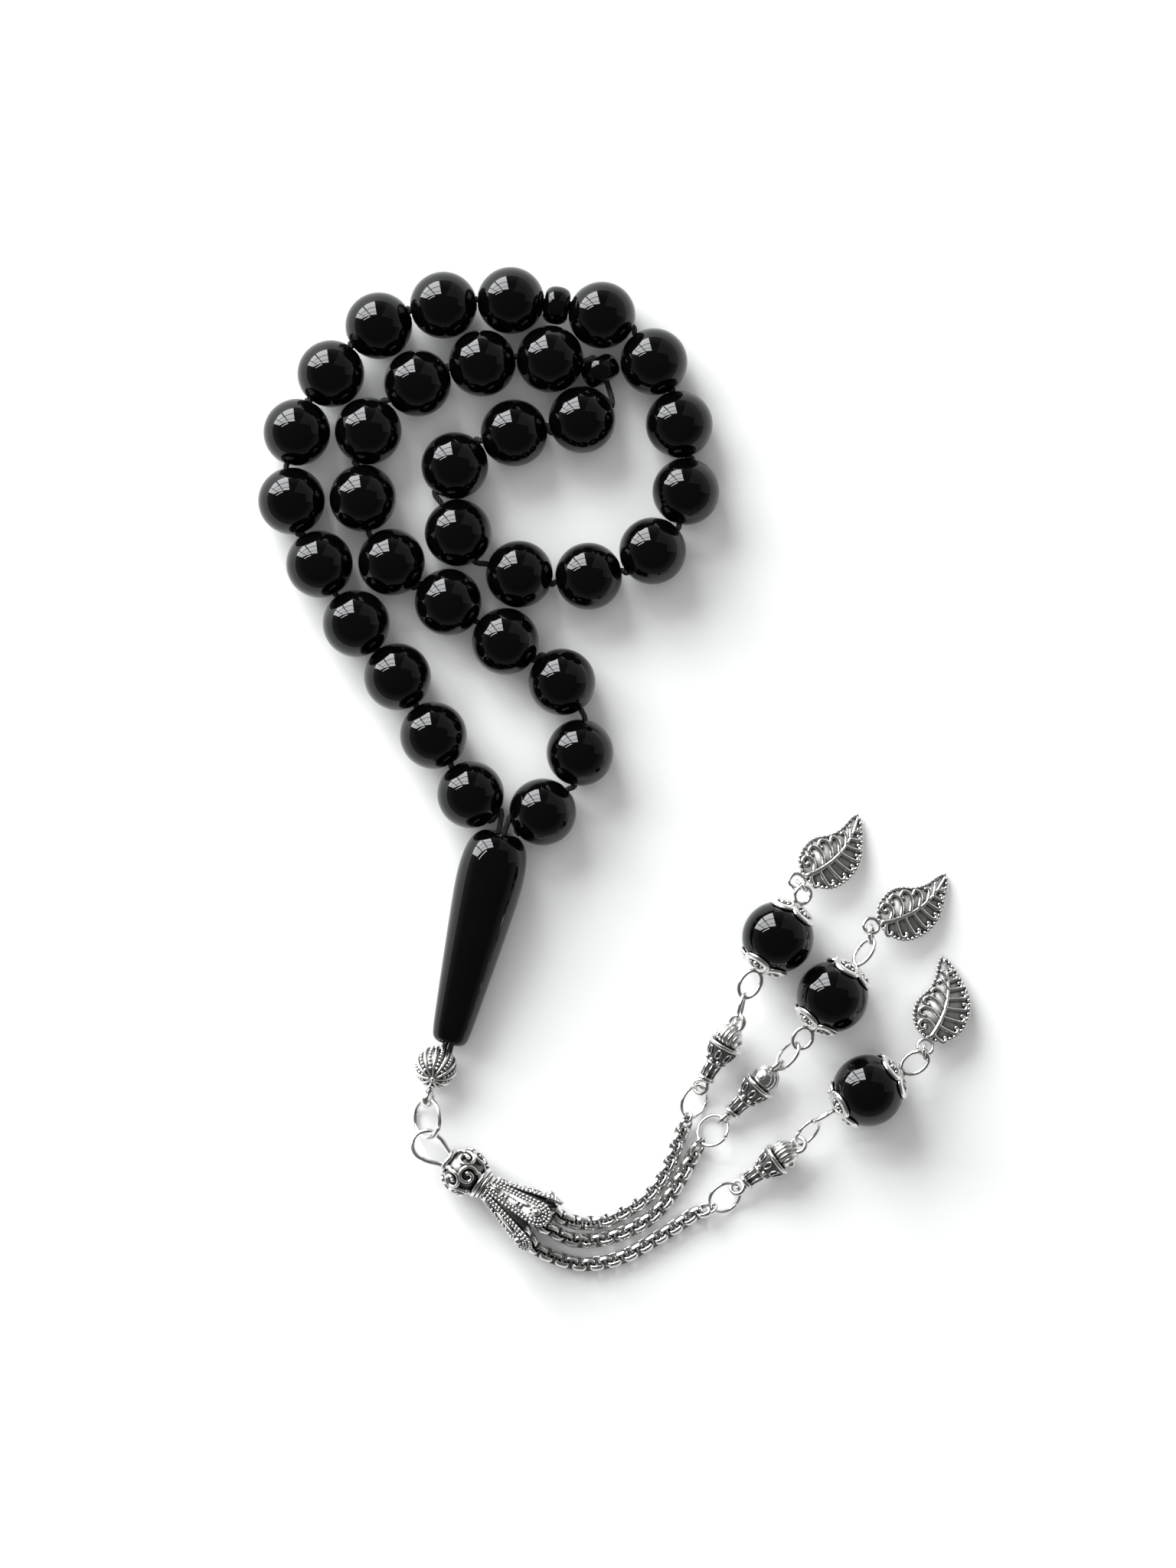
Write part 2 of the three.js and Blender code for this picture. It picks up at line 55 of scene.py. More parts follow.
KNOT_RADIUS = 1.4
BEAD_REACH = 4.9  # from a bead's middle to where the cord may bend
RONDELLE_REACH = 2.2
LEG_OFFSET = 0.45  # from the leader's line to each run of cord inside it
TRUNK_WIRE = 0.375
JUMP_WIRE = 0.28
JUMP_RADIUS = 2.5
PIN_WIRE = 0.31
WIRE_CONTACT = PIN_WIRE + JUMP_WIRE - 0.05  # between the wire middles of a pin's loop and a ring through it
LINK_HALF_WIDTH = 1.6  # of the ring between a torch and its drop
HOOK_AT = 10.7  # from the filigree ball's middle to the ring that the chains hook on
HOOK_RADIUS = 1.4
HOOK_WIRE = 0.3
LINK_RADIUS = 0.75
LINK_WIRE = 0.22
CHAIN_PITCH = 1.32
DROP_RADIUS = 5.4
DROP_BORE = 0.7
HEAD_PIN_RADIUS = 0.32
PIN_NECK = 0.6  # from a drop bead to the loop of its head pin
LEAF_REACH = 13.9  # from a leaf's eye to its tip
LEAF_TIP_HEIGHT = 0.75

# ---- Turns of the flat pieces about their own length, in degrees ----
BAIL_ROLL = 112
TRUNK_RING_ROLL = 50
PIN_ROLL = -10
FILIGREE_ROLL = -14

# The point that the chains' routes are measured from.
ROUTE_ORIGIN = Vector((0.3, -1.1, 0.0))

# Each strand: its chain's route from the cone's mouth to its last link, the turns of its pieces, each loop
# of its head pin as (reach, half width, turn), its leaf's ring as (half width, turn) and its leaf's heading.
STRANDS = [
    {
        "chain": [(-10, -64.6, 4.2), (-8.4, -66, 3), (-6.5, -66.9, 2), (-4.3, -67.2, 1.5), (-2.1, -67, 1.3),
                  (0.1, -66.2, 1.2), (2.3, -65, 1.2), (4.4, -63.6, 1.2), (6, -61.9, 1.2), (7.3, -60, 1.2),
                  (8.3, -58, 1.2), (9.2, -55.7, 1.2), (10, -53.6, 1.2)],
        "ring_roll": 44, "torch_roll": -28, "link_roll": 80, "cap_rolls": (20, 40),
        "lower_loop": (2.2, 1.5, 10), "upper_loop": (1.35, 1.3, 25), "tie": (1.1, 90), "leaf_heading": 48.9,
    },
    {
        "chain": [(-10.9, -67.4, 4.3), (-9, -68.5, 2.9), (-7, -69.5, 1.8), (-5, -69.9, 1.3),
                  (-3, -69.8, 1.2), (-0.9, -69.4, 1.2), (1.2, -68.7, 1.2), (3.5, -67.6, 1.2),
                  (5.6, -66.2, 1.2), (7.4, -64.3, 1.2), (8.9, -62.1, 1.2), (10.2, -60, 1.2),
                  (11.4, -57.7, 1.2)],
        "ring_roll": -37, "torch_roll": 70, "link_roll": -50, "cap_rolls": (35, 70),
        "lower_loop": (1.7, 1.4, 10), "upper_loop": (2.2, 1.4, -45), "tie": (1.1, 75), "leaf_heading": 36,
    },
    {
        "chain": [(-13.1, -68.9, 3.9), (-12, -70.8, 2.5), (-10, -72, 1.5), (-7.5, -72.9, 1.2),
                  (-4.8, -73.4, 1.2), (-2.2, -73.2, 1.2), (0, -72.7, 1.2), (2.5, -71.7, 1.2),
                  (4.9, -70.3, 1.2), (7.4, -68.8, 1.2), (9.9, -67.2, 1.2), (12, -65.8, 1.2)],
        "ring_roll": 37, "torch_roll": -28, "link_roll": 45, "cap_rolls": (10, 60),
        "lower_loop": (1.7, 1.4, 90), "upper_loop": (2.2, 1.5, 0), "tie": (1.1, 75), "leaf_heading": 80.3,
    },
]

JOINTS = {joint["name"]: joint for joint in frame["joints"]}
UP = Vector((0, 0, 1))
HERE = Matrix.Identity(4)


# ---- Places ----
def joint_point(name):
    """A joint's point in millimetres."""
    return Vector(JOINTS[name]["pos_m"]) / MM


def joint_axis(name):
    return Vector(JOINTS[name]["axis"]).normalized()


def placing(at, along, roll=0.0):
    """The place of a piece whose own X runs along a direction, in millimetres."""
    ahead = along.normalized()
    left = UP.cross(ahead).normalized()
    above = ahead.cross(left)
    turn = Matrix((ahead, left, above)).transposed().to_4x4()
    return Matrix.Translation(at) @ turn @ Matrix.Rotation(math.radians(roll), 4, "X")


def heading(degrees):
    turn = math.radians(degrees)
    return Vector((math.cos(turn), math.sin(turn), 0))


# ---- Forms: an array of points and a list of faces ----
def joined(*forms):
    points = []
    faces = []
    start = 0
    for form_points, form_faces in forms:
        points.append(form_points)
        faces.extend(tuple(index + start for index in face) for face in form_faces)
        start += len(form_points)
    return np.concatenate(points), faces


def moved(form, place):
    points, faces = form
    matrix = np.array(place)
    return points @ matrix[:3, :3].T + matrix[:3, 3], faces


def shifted(form, x=0.0, y=0.0, z=0.0):
    return form[0] + np.array((x, y, z)), form[1]


def grid_faces(rows, columns, close_rows):
    """The quads of a grid whose columns close round, and whose rows close too if asked."""
    faces = []
    for row in range(rows if close_rows else rows - 1):
        here = row * columns
        there = ((row + 1) % rows) * columns
        for column in range(columns):
            after = (column + 1) % columns
            faces.append((here + column, here + after, there + after, there + column))
    return faces


def turned(outline, sides=48, closed=False):
    """A turned form about X through (along, radius) points."""
    angles = np.arange(sides) * 2 * math.pi / sides
    rings = [np.stack((np.full(sides, along), radius * np.cos(angles), radius * np.sin(angles)), axis=1)
             for along, radius in outline]
    faces = grid_faces(len(outline), sides, closed)
    if not closed:
        faces.append(tuple(range(sides))[::-1])
        last = (len(outline) - 1) * sides
        faces.append(tuple(range(last, last + sides)))
    return np.concatenate(rings), faces


def smoothed(points, steps, closed=False):
    """Points on a Catmull-Rom curve through the given points."""
    given = [Vector(point) for point in points]
    count = len(given)
    result = []
    for index in range(count if closed else count - 1):
        if closed:
            a, b, c, d = (given[(index + shift) % count] for shift in (-1, 0, 1, 2))
        else:
            b, c = given[index], given[index + 1]
            a = given[index - 1] if index > 0 else b * 2 - c
            d = given[index + 2] if index + 2 < count else c * 2 - b
        for step in range(steps):
            t = step / steps
            result.append(0.5 * (b * 2 + (c - a) * t + (a * 2 - b * 5 + c * 4 - d) * t * t
                                 + (b * 3 - a - c * 3 + d) * t * t * t))
    if not closed:
        result.append(given[-1])
    return result


def lengthwise(points, pitch):
    """Evenly spaced points and directions along a path, with its whole length divided by about a pitch."""
    spans = [(b - a).length for a, b in zip(points, points[1:])]
    count = max(1, round(sum(spans) / pitch))
    step = sum(spans) / count
    result = []
    for number in range(count + 1):
        along = min(number * step, sum(spans) - 1e-6)
        index = 0
        while along > spans[index]:
            along -= spans[index]
            index += 1
        direction = points[index + 1] - points[index]
        result.append((points[index] + direction * (along / spans[index]), direction.normalized()))
    return result


def frames_along(points, closed, normal):
    """A pair of cross directions at each point, carried along the path with the least turning."""
    count = len(points)
    frames = []
    side = Vector(normal)
    for index in range(count):
        before = points[index - 1] if closed or index > 0 else points[0]
        after = points[(index + 1) % count] if closed or index < count - 1 else points[-1]
        ahead = (after - before).normalized()
        side = (side - ahead * side.dot(ahead)).normalized()
        frames.append((side, ahead.cross(side)))
    return frames


def tube(points, radius, sides=10, closed=False, flat=1.0, normal=(0, 0, 1)):
    """A rod along a path, with one radius or one for each point. Flat is its scale along the normal."""
    points = [Vector(point) for point in points]
    radii = radius if isinstance(radius, (list, tuple)) else [radius] * len(points)
    angles = np.arange(sides) * 2 * math.pi / sides
    rings = []
    for point, size, (side, other) in zip(points, radii, frames_along(points, closed, normal)):
        across = np.outer(np.cos(angles) * size * flat, np.array(side))
        along = np.outer(np.sin(angles) * size, np.array(other))
        rings.append(np.array(point) + across + along)
    faces = grid_faces(len(points), sides, closed)
    if not closed:
        faces.append(tuple(range(sides))[::-1])
        last = (len(points) - 1) * sides
        faces.append(tuple(range(last, last + sides)))
    return np.concatenate(rings), faces


def ball(at, radius, sides=10):
    rows = max(4, sides // 2)
    outline = [(-radius * math.cos(math.pi * row / rows), radius * math.sin(math.pi * row / rows))
               for row in range(rows + 1)]
    outline[0] = (-radius, radius * 0.02)
    outline[-1] = (radius, radius * 0.02)
    return shifted(turned(outline, sides), *at)


def circle(radius, wide=None, steps=40, start=0.0, end=360.0):
    """Points on a circle or an oval in the XY plane."""
    wide = radius if wide is None else wide
    whole = end - start >= 360
    count = steps if whole else steps + 1
    turns = [math.radians(start + (end - start) * step / steps) for step in range(count)]
    return [Vector((radius * math.cos(turn), wide * math.sin(turn), 0)) for turn in turns]


def wire_ring(radius, wire, wide=None, gap=0.0, seam=0.0):
    """A wire ring with a cut of some degrees at its seam, or a whole one."""
    if gap == 0:
        return tube(circle(radius, wide), wire, 12, closed=True)
    return tube(circle(radius, wide, 48, seam + gap / 2, seam + 360 - gap / 2), wire, 12)


# ---- Putting a piece in the scene ----
def put(name, form, place, material, body, nodes=()):
    points, faces = moved(form, place)
    mesh = bpy.data.meshes.new(name)
    mesh.from_pydata((points * MM).tolist(), [], faces)
    mesh.validate()
    mesh.shade_smooth()
    mesh.materials.append(material)
    piece = bpy.data.objects.new(name, mesh)
    bpy.context.scene.collection.objects.link(piece)
    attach(piece, body)
    if nodes:
        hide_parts(*nodes)
    return piece


# ---- Materials ----
class Shader:
    """A material's nodes, made and linked by name."""

    def __init__(self, name):
        self.material = bpy.data.materials.new(name)
        self.material.use_nodes = True
        self.tree = self.material.node_tree
        self.principled = self.tree.nodes["Principled BSDF"]

    def node(self, kind, **inputs):
        made = self.tree.nodes.new("ShaderNode" + kind)
        for socket, value in inputs.items():
            made.inputs[socket.replace("_", " ")].default_value = value
        return made

    def link(self, output, target):
        self.tree.links.new(output, target)

    def noise(self, scale, detail=3.0):
        texture = self.node("TexNoise", Scale=scale, Detail=detail)
        self.link(self.node("TexCoord").outputs["Object"], texture.inputs["Vector"])
        return texture.outputs["Fac"]

    def spread(self, value, low, high, start=0.0, end=1.0):
        """A value mapped from start to end onto low to high."""
        ranged = self.node("MapRange")
        for socket, number in (("From Min", start), ("From Max", end), ("To Min", low), ("To Max", high)):
            ranged.inputs[socket].default_value = number
        self.link(value, ranged.inputs["Value"])
        return ranged.outputs["Result"]

    def between(self, value, low, high):
        """A colour between two by a value from 0 to 1."""
        ramp = self.node("ValToRGB")
        ramp.color_ramp.elements[0].color = (*low, 1)
        ramp.color_ramp.elements[1].color = (*high, 1)
        self.link(value, ramp.inputs["Fac"])
        return ramp.outputs["Color"]

    def product(self, first, second):
        node = self.tree.nodes.new("ShaderNodeMath")
        node.operation = "MULTIPLY"
        self.link(first, node.inputs[0])
        self.link(second, node.inputs[1])
        return node.outputs["Value"]

    def openness(self, distance):
        """How open the surface is to its surroundings, from 0 in a recess to 1."""
        node = self.node("AmbientOcclusion", Distance=distance)
        node.samples = 6
        return node.outputs["AO"]

    def bump(self, height, depth):
        node = self.node("Bump", Distance=depth)
        self.link(height, node.inputs["Height"])
        self.link(node.outputs["Normal"], self.principled.inputs["Normal"])

    def set(self, socket, value):
        self.principled.inputs[socket].default_value = value

    def drive(self, socket, output):
        self.link(output, self.principled.inputs[socket])


def onyx_material():
    shader = Shader("polished_onyx")
    darkest = (0.0004, 0.0004, 0.0005)
    palest = (0.0013, 0.0013, 0.0015)
    shader.drive("Base Color", shader.between(shader.noise(140), darkest, palest))
    shader.drive("Roughness", shader.spread(shader.noise(700), 0.015, 0.05))
    shader.set("IOR", 1.38)
    return shader.material


def silver_material(name, dark, bright, recess, smooth, rough):
    """Silver that is bright where it is rubbed and dark where it is sheltered."""
    shader = Shader(name)
    open_part = shader.spread(shader.openness(recess), 0.0, 1.0, 0.3, 0.85)
    patches = shader.spread(shader.noise(900), 0.8, 1.0, 0.3, 0.7)
    shine = shader.product(open_part, patches)
    shader.drive("Base Color", shader.between(shine, dark, bright))
    shader.drive("Roughness", shader.spread(shine, rough, smooth))
    shader.set("Metallic", 1.0)
    shader.bump(shader.noise(2600), 0.00003)
    return shader.material


def cord_material():
    shader = Shader("braided_cord")
    wave = shader.node("TexWave", Scale=900, Distortion=1.5)
    shader.link(shader.node("TexCoord").outputs["Object"], wave.inputs["Vector"])
    darkest = (0.004, 0.004, 0.004)
    palest = (0.02, 0.02, 0.021)
    shader.drive("Base Color", shader.between(wave.outputs["Fac"], darkest, palest))
    shader.drive("Roughness", shader.spread(shader.noise(1200), 0.55, 0.8))
    shader.bump(wave.outputs["Fac"], 0.00012)
    return shader.material


def floor_material():
    shader = Shader("white_table")
    shader.drive("Base Color", shader.between(shader.noise(9), (0.7, 0.7, 0.7), (0.73, 0.73, 0.73)))
    shader.drive("Roughness", shader.spread(shader.noise(60), 0.6, 0.75))
    shader.set("Specular IOR Level", 0.2)
    return shader.material


ONYX = onyx_material()
SILVER = silver_material("antique_silver", (0.02, 0.019, 0.017), (0.9, 0.89, 0.87), 0.0006, 0.17, 0.5)
WIRE = silver_material("silver_wire", (0.12, 0.117, 0.112), (0.92, 0.91, 0.89), 0.0005, 0.2, 0.38)
OXIDE = silver_material("oxidised_silver", (0.006, 0.006, 0.006), (0.2, 0.195, 0.19), 0.0008, 0.34, 0.6)
LEAF_GROUND = silver_material("leaf_ground", (0.01, 0.01, 0.01), (0.5, 0.49, 0.475), 0.0006, 0.6, 0.7)
CORD = cord_material()


# ---- The string ----
def smooth_outline(points, steps):
    curve = smoothed([(along, radius, 0) for along, radius in points], steps)
    return [(point.x, point.y) for point in curve]


def bead_form(radius, bore, sides=64, rows=36):
    """A drilled ball whose bore is a little wider at its mouths."""
    end = math.acos(bore / radius)
    outline = [(radius * math.sin(angle), radius * math.cos(angle))
               for angle in (-end + 2 * end * row / rows for row in range(rows + 1))]
    mouth = radius * math.sin(end) - 0.2
    inner = bore - BORE_EDGE
    outline += [(mouth, inner), (0, inner), (-mouth, inner)]
    return turned(outline, sides, closed=True)


RONDELLE_SIDE = [(-1.9, 1.5), (-1.86, 1.9), (-1.6, 2.35), (-1.1, 2.68), (-0.5, 2.85), (0.5, 2.85),
                 (1.1, 2.68), (1.6, 2.35), (1.86, 1.9), (1.9, 1.5)]
RONDELLE_BORE = [(1.8, 1.0), (0, 0.95), (-1.8, 1.0)]
LEADER_SIDE = [(0, 1.4), (0.05, 2.2), (0.5, 3.2), (1.6, 4.15), (3.4, 4.75), (5.8, 5.02), (8.5, 5),
               (12, 4.75), (20, 4), (28, 3.2), (31, 2.85), (32.2, 2.55), (32.75, 1.9), (LEADER_LENGTH, 1.2)]
LEADER_BORE = [(LEADER_LENGTH - 0.2, 1.05), (16, 1.05), (0.2, 1.1)]


def rondelle_form():
    return turned(smooth_outline(RONDELLE_SIDE, 4) + RONDELLE_BORE, 48, closed=True)


def leader_form():
    """The long leader bead: a domed top, a slow taper and a rounded foot."""
    return turned(smooth_outline(LEADER_SIDE, 5) + LEADER_BORE, 72, closed=True)


BEAD_COUNT = 33
GROUP = 11  # beads between two rondelles
FOOT_LEAD = 1.0  # from the leader's foot to where each run of cord turns to the knot
TOP_LEAD = 0.6  # from the leader's top to where each run turns to its first bead
KNOT_SHARE = 0.45  # the share of the way from the knot to that turn where each run starts
BORE_SHARES = (-1, -0.4, 0.4, 1)  # the cord's points in a bore, as shares of its reach


def string_names():
    """The beads and rondelles, in the order that the cord runs through them."""
    names = []
    for number in range(1, BEAD_COUNT + 1):
        names.append(f"bead_{number:02d}")
        if number % GROUP == 0 and number < BEAD_COUNT:
            names.append(f"rondelle_{number // GROUP}")
    return names


def string_route():
    """The cord's line from its knot in the end ball, up the leader, round the beads and back."""
    top = joint_point("imame_spin")
    axis = joint_axis("imame_spin")
    foot = top + axis * (LEADER_LENGTH + FOOT_LEAD)
    knot = joint_point("end_ball_turn")
    across = UP.cross(axis).normalized() * LEG_OFFSET
    leg = [knot + (foot - knot) * KNOT_SHARE, foot, top - axis * TOP_LEAD]
    route = [point - across for point in leg]
    for name in string_names():
        reach = BEAD_REACH if name.startswith("bead") else RONDELLE_REACH
        centre = joint_point(name + "_spin")
        along = joint_axis(name + "_spin")
        route += [centre + along * reach * share for share in BORE_SHARES]
    route += [point + across for point in reversed(leg)]
    return route


def make_string():
    for name in string_names():
        form = bead_form(BEAD_RADIUS, BEAD_BORE) if name.startswith("bead") else rondelle_form()
        place = placing(joint_point(name + "_spin"), joint_axis(name + "_spin"))
        put("polished_" + name, form, place, ONYX, name, [name])
    place = placing(joint_point("imame_spin"), joint_axis("imame_spin"))
    put("polished_imame", leader_form(), place, ONYX, "imame", ["imame"])
    route = smoothed(string_route(), 6)
    cord = joined(tube(route, CORD_RADIUS, 12), ball(joint_point("end_ball_turn"), KNOT_RADIUS, 16))
    piece = put("bead_cord", cord, HERE, CORD, "string", ["cord_loop"])


# ---- The trunk of the tassel ----
def on_ball(radius, turn, tilt):
    """A point on a ball about X: tilt degrees from its +X pole, turned about X."""
    a = math.radians(tilt)
    b = math.radians(turn)
    out = radius * math.sin(a)
    return Vector((radius * math.cos(a), out * math.cos(b), out * math.sin(b)))


def ball_outline(radius, start, end, steps):
    """A ball's outline between two distances along its X."""
    return [(along, math.sqrt(radius ** 2 - along * along)) for along in np.linspace(start, end, steps)]


END_BALL_RADIUS = 2.95
END_BALL_HOLLOW = [(2.0, 0.6), (1.2, 1.7), (-1.2, 1.9), (-2.4, 1.4)]
END_BALL_RIBS = 11
RIB_LIFT = 0.08  # from the ball's face to a rib's middle
RIB_TILTS = range(8, 133, 5)
RIB_THIN = 0.14
RIB_SWELL = 0.12  # how much thicker a rib is at the ball's equator
GRANULE_LIFT = 0.03
GRANULE_RADIUS = 0.29
GRANULE_TILTS = range(34, 130, 12)
POLE_LIFT = 0.13
POLE_RADIUS = 0.42
POLE_TILT = 61  # from the ball's own length up to the point where its ribs meet
BAIL_RADIUS = 1.15
BAIL_WIRE = 0.24
BAIL_WIDENING = 2.2  # the bail is a strap, this much wider than it is thick
BAIL_AT = 4.95
BAIL_NECK = [(2.3, 1.0), (3.0, 0.7), (3.9, 0.5)]


def end_ball_form():
    """A ball of raised ribs that meet at one pole, with rows of granules between them, and a strap bail."""
    core = turned(ball_outline(END_BALL_RADIUS, -2.7, 2.91, 24) + END_BALL_HOLLOW, 40, closed=True)
    parts = [ball(on_ball(END_BALL_RADIUS + POLE_LIFT, 0, 0), POLE_RADIUS, 12)]
    gap = 360 / END_BALL_RIBS
    thicknesses = [RIB_THIN + RIB_SWELL * math.sin(math.radians(tilt)) for tilt in RIB_TILTS]
    for rib in range(END_BALL_RIBS):
        path = [on_ball(END_BALL_RADIUS + RIB_LIFT, rib * gap, tilt) for tilt in RIB_TILTS]
        parts.append(tube(path, thicknesses, 8))
        for tilt in GRANULE_TILTS:
            middle = on_ball(END_BALL_RADIUS + GRANULE_LIFT, (rib + 0.5) * gap, tilt)
            parts.append(ball(middle, GRANULE_RADIUS, 10))
    decor = moved(joined(*parts), Matrix.Rotation(math.radians(-POLE_TILT), 4, "Y"))
    strap = tube(circle(BAIL_RADIUS, steps=32), BAIL_WIRE, 10, closed=True, flat=BAIL_WIDENING)
    strap = shifted(strap, BAIL_AT)
    neck = tube([(along, 0, 0) for along, _ in BAIL_NECK], [radius for _, radius in BAIL_NECK], 12)
    return core, decor, moved(joined(strap, neck), Matrix.Rotation(math.radians(BAIL_ROLL), 4, "X"))


PIN_LEG = [(-2.8, 0.9, 0), (-3.6, 1.15, 0), (-4.6, 1.55, 0), (-5.6, 1.95, 0)]
PIN_BOW_AT = -7
PIN_BOW_RADIUS = 2.15
PIN_BOW_TURNS = range(75, 286, 15)
PIN_SHAFT = [(-3.0, 0.65), (HOOK_AT - HOOK_RADIUS, 0.55)]


def tassel_pin_form():
    """A long eye pin: a pear-shaped loop with two legs into the filigree ball, and a ring for the chains."""
    bow = [(PIN_BOW_AT + PIN_BOW_RADIUS * math.cos(math.radians(turn)),
            PIN_BOW_RADIUS * math.sin(math.radians(turn)), 0) for turn in PIN_BOW_TURNS]
    back = [(x, -y, z) for x, y, z in reversed(PIN_LEG)]
    loop = tube(smoothed(PIN_LEG + bow + back, 4), TRUNK_WIRE, 14)
    hook = shifted(wire_ring(HOOK_RADIUS, HOOK_WIRE), HOOK_AT)
    return joined(loop, turned(PIN_SHAFT, 20), hook)


# A scroll laid flat, along the ball and across it: its tail, its spiral's middle, and the spiral's first and
# last turns in degrees with its reach at the first and how much of that it loses by the last.
SCROLL_TAIL = [(-2.75, -1.2), (-2.3, -1.75)]
SCROLL_MIDDLE = (-0.95, -0.15)
SCROLL_START = -35
SCROLL_END = 400
SCROLL_REACH = 1.62
SCROLL_LOSS = 1.2
SCROLL_WIRE = 0.28
SCROLL_END_BALL = 0.36


def scroll(turn, hand, radius):
    """A thick comma of wire on the filigree ball: a tail from one collar that curls into a spiral."""
    flat = list(SCROLL_TAIL)
    for angle in range(SCROLL_START, SCROLL_END + 1, 15):
        reach = SCROLL_REACH - SCROLL_LOSS * (angle - SCROLL_START) / (SCROLL_END - SCROLL_START)
        a = math.radians(angle)
        flat.append((SCROLL_MIDDLE[0] + reach * math.sin(a), SCROLL_MIDDLE[1] - reach * math.cos(a)))
    path = [on_ball(radius, turn + math.degrees(across / radius), 90 - math.degrees(along * hand / radius))
            for along, across in flat]
    return joined(tube(smoothed(path, 2), SCROLL_WIRE, 8), ball(path[-1], SCROLL_END_BALL, 10))


FILIGREE_SCROLLS = 5  # on each half of the ball
FILIGREE_RADIUS = 3.5
FILIGREE_CORE = 3.05
# Each collar: its distance along the ball, its radius and half its thickness.
FILIGREE_COLLARS = [(-2.95, 2.05, 0.38), (2.85, 2.5, 0.36), (3.55, 2.2, 0.24)]


def filigree_form():
    """A pierced ball: scrolls of wire over a smooth core, between plain collars."""
    step = 360 / FILIGREE_SCROLLS
    parts = []
    for number in range(FILIGREE_SCROLLS):
        parts.append(scroll(step * number, 1, FILIGREE_RADIUS))
        parts.append(scroll(step * (number + 0.5), -1, FILIGREE_RADIUS))
    core = turned(ball_outline(FILIGREE_CORE, -2.6, 2.6, 20) + [(2.6, 0.8), (-2.6, 0.8)], 40, closed=True)
    collars = []
    for along, wide, thick in FILIGREE_COLLARS:
        outline = [(-thick, wide - 0.35), (-thick, wide - 0.1), (-0.2, wide + 0.06), (0.2, wide + 0.06),
                   (thick, wide - 0.1), (thick, wide - 0.35), (0.1, 0.8), (-0.1, 0.8)]
        collars.append(shifted(turned(outline, 48, closed=True), along))
    return core, joined(*collars, *parts)


CONE_LENGTH = 10.9
CONE_TOP = 1.7
CONE_FLARE = 3.0  # how much wider the cone is where its flare ends than at its top
FLARE_END = 9.4
FLARE_POWER = 1.05
CLOSING_FROM = 9.0
CLOSING = 0.12  # how much nearer the petals come to the cone's line in each millimetre past that
PETALS = 5
PETAL_START = 1.15  # half a petal's width at the cone's top
PETAL_END = 2.2  # the radius of a petal's round end
PETAL_TURN = -18
PETAL_WRAP = 0.86  # how far a petal's width wraps round the cone, as a share of its own size
PETAL_THICKNESS = 0.35
BOSS_AT = CONE_LENGTH - PETAL_END
BOSS_RADIUS = 0.62
BOSS_RING = 1.05
# Each row of granules along a petal's edge: how far in it lies, and a granule's radius.
BORDERS = [(0.12, 0.27), (0.72, 0.23)]
GRANULE_SPACING = 2.3  # between a row's granules, as a share of their radius
CONE_WALL = [(0.1, 1.5), (4.5, 2.75), (8.6, 4.0), (8.6, 3.8), (4.5, 2.5), (0.8, 1.3), (0.8, 0.95),
             (0.1, 0.95)]
CONE_THROAT = [(-0.1, 1.0), (-0.1, 1.85), (0.1, 1.95), (0.45, 1.95), (0.6, 1.8), (0.6, 1.0)]


def cone_radius(along):
    """The petals' distance from the cone's line. They close in a little at the end."""
    flare = CONE_TOP + CONE_FLARE * min(1.0, along / FLARE_END) ** FLARE_POWER
    return flare - CLOSING * max(0.0, along - CLOSING_FROM)


def on_cone(along, across, lift=0.0):
    """A point on a petal: a distance from the cone's top, a distance across, and a lift off its face."""
    radius = cone_radius(along)
    angle = across / radius * PETAL_WRAP
    out = radius + lift
    return Vector((along, -out * math.sin(angle), out * math.cos(angle)))


def petal_half_width(along):
    if along > BOSS_AT:
        return math.sqrt(max(PETAL_END ** 2 - (along - BOSS_AT) ** 2, 0.0))
    return PETAL_START + (PETAL_END - PETAL_START) * (along / BOSS_AT) ** 0.9


def petal_plate():
    """A petal's curved sheet, with both its faces and its edge."""
    rows = 26
    columns = 8
    width = columns + 1
    points = []
    for level in (0.0, -PETAL_THICKNESS):
        for row in range(rows + 1):
            along = CONE_LENGTH * 0.998 * row / rows
            half = petal_half_width(along)
            points += [on_cone(along, half * (2 * column / columns - 1), level) for column in range(width)]
    layer = (rows + 1) * width
    faces = []
    for row in range(rows):
        for column in range(columns):
            a = row * width + column
            faces.append((a, a + 1, a + 1 + width, a + width))
            faces.append((a + layer, a + width + layer, a + 1 + width + layer, a + 1 + layer))
    edge = list(range(width))
    edge += [row * width + columns for row in range(1, rows + 1)]
    edge += [rows * width + column for column in range(columns - 1, -1, -1)]
    edge += [row * width for row in range(rows - 1, 0, -1)]
    for first, second in zip(edge, edge[1:] + edge[:1]):
        faces.append((second, first, first + layer, second + layer))
    return np.array([list(point) for point in points]), faces


def petal_border(inset, size):
    """A row of granules a distance in from a petal's edge."""
    spacing = size * GRANULE_SPACING
    side = [(along, petal_half_width(along) - inset) for along in np.arange(0.5, BOSS_AT - 0.2, spacing)]
    reach = PETAL_END - inset
    steps = round(math.pi * reach / spacing)
    arc = [(BOSS_AT + reach * math.sin(math.pi * step / steps), reach * math.cos(math.pi * step / steps))
           for step in range(steps + 1)]
    outline = side + arc + [(along, -across) for along, across in side]
    return [ball(on_cone(along, across, 0.03), size, 8) for along, across in outline]


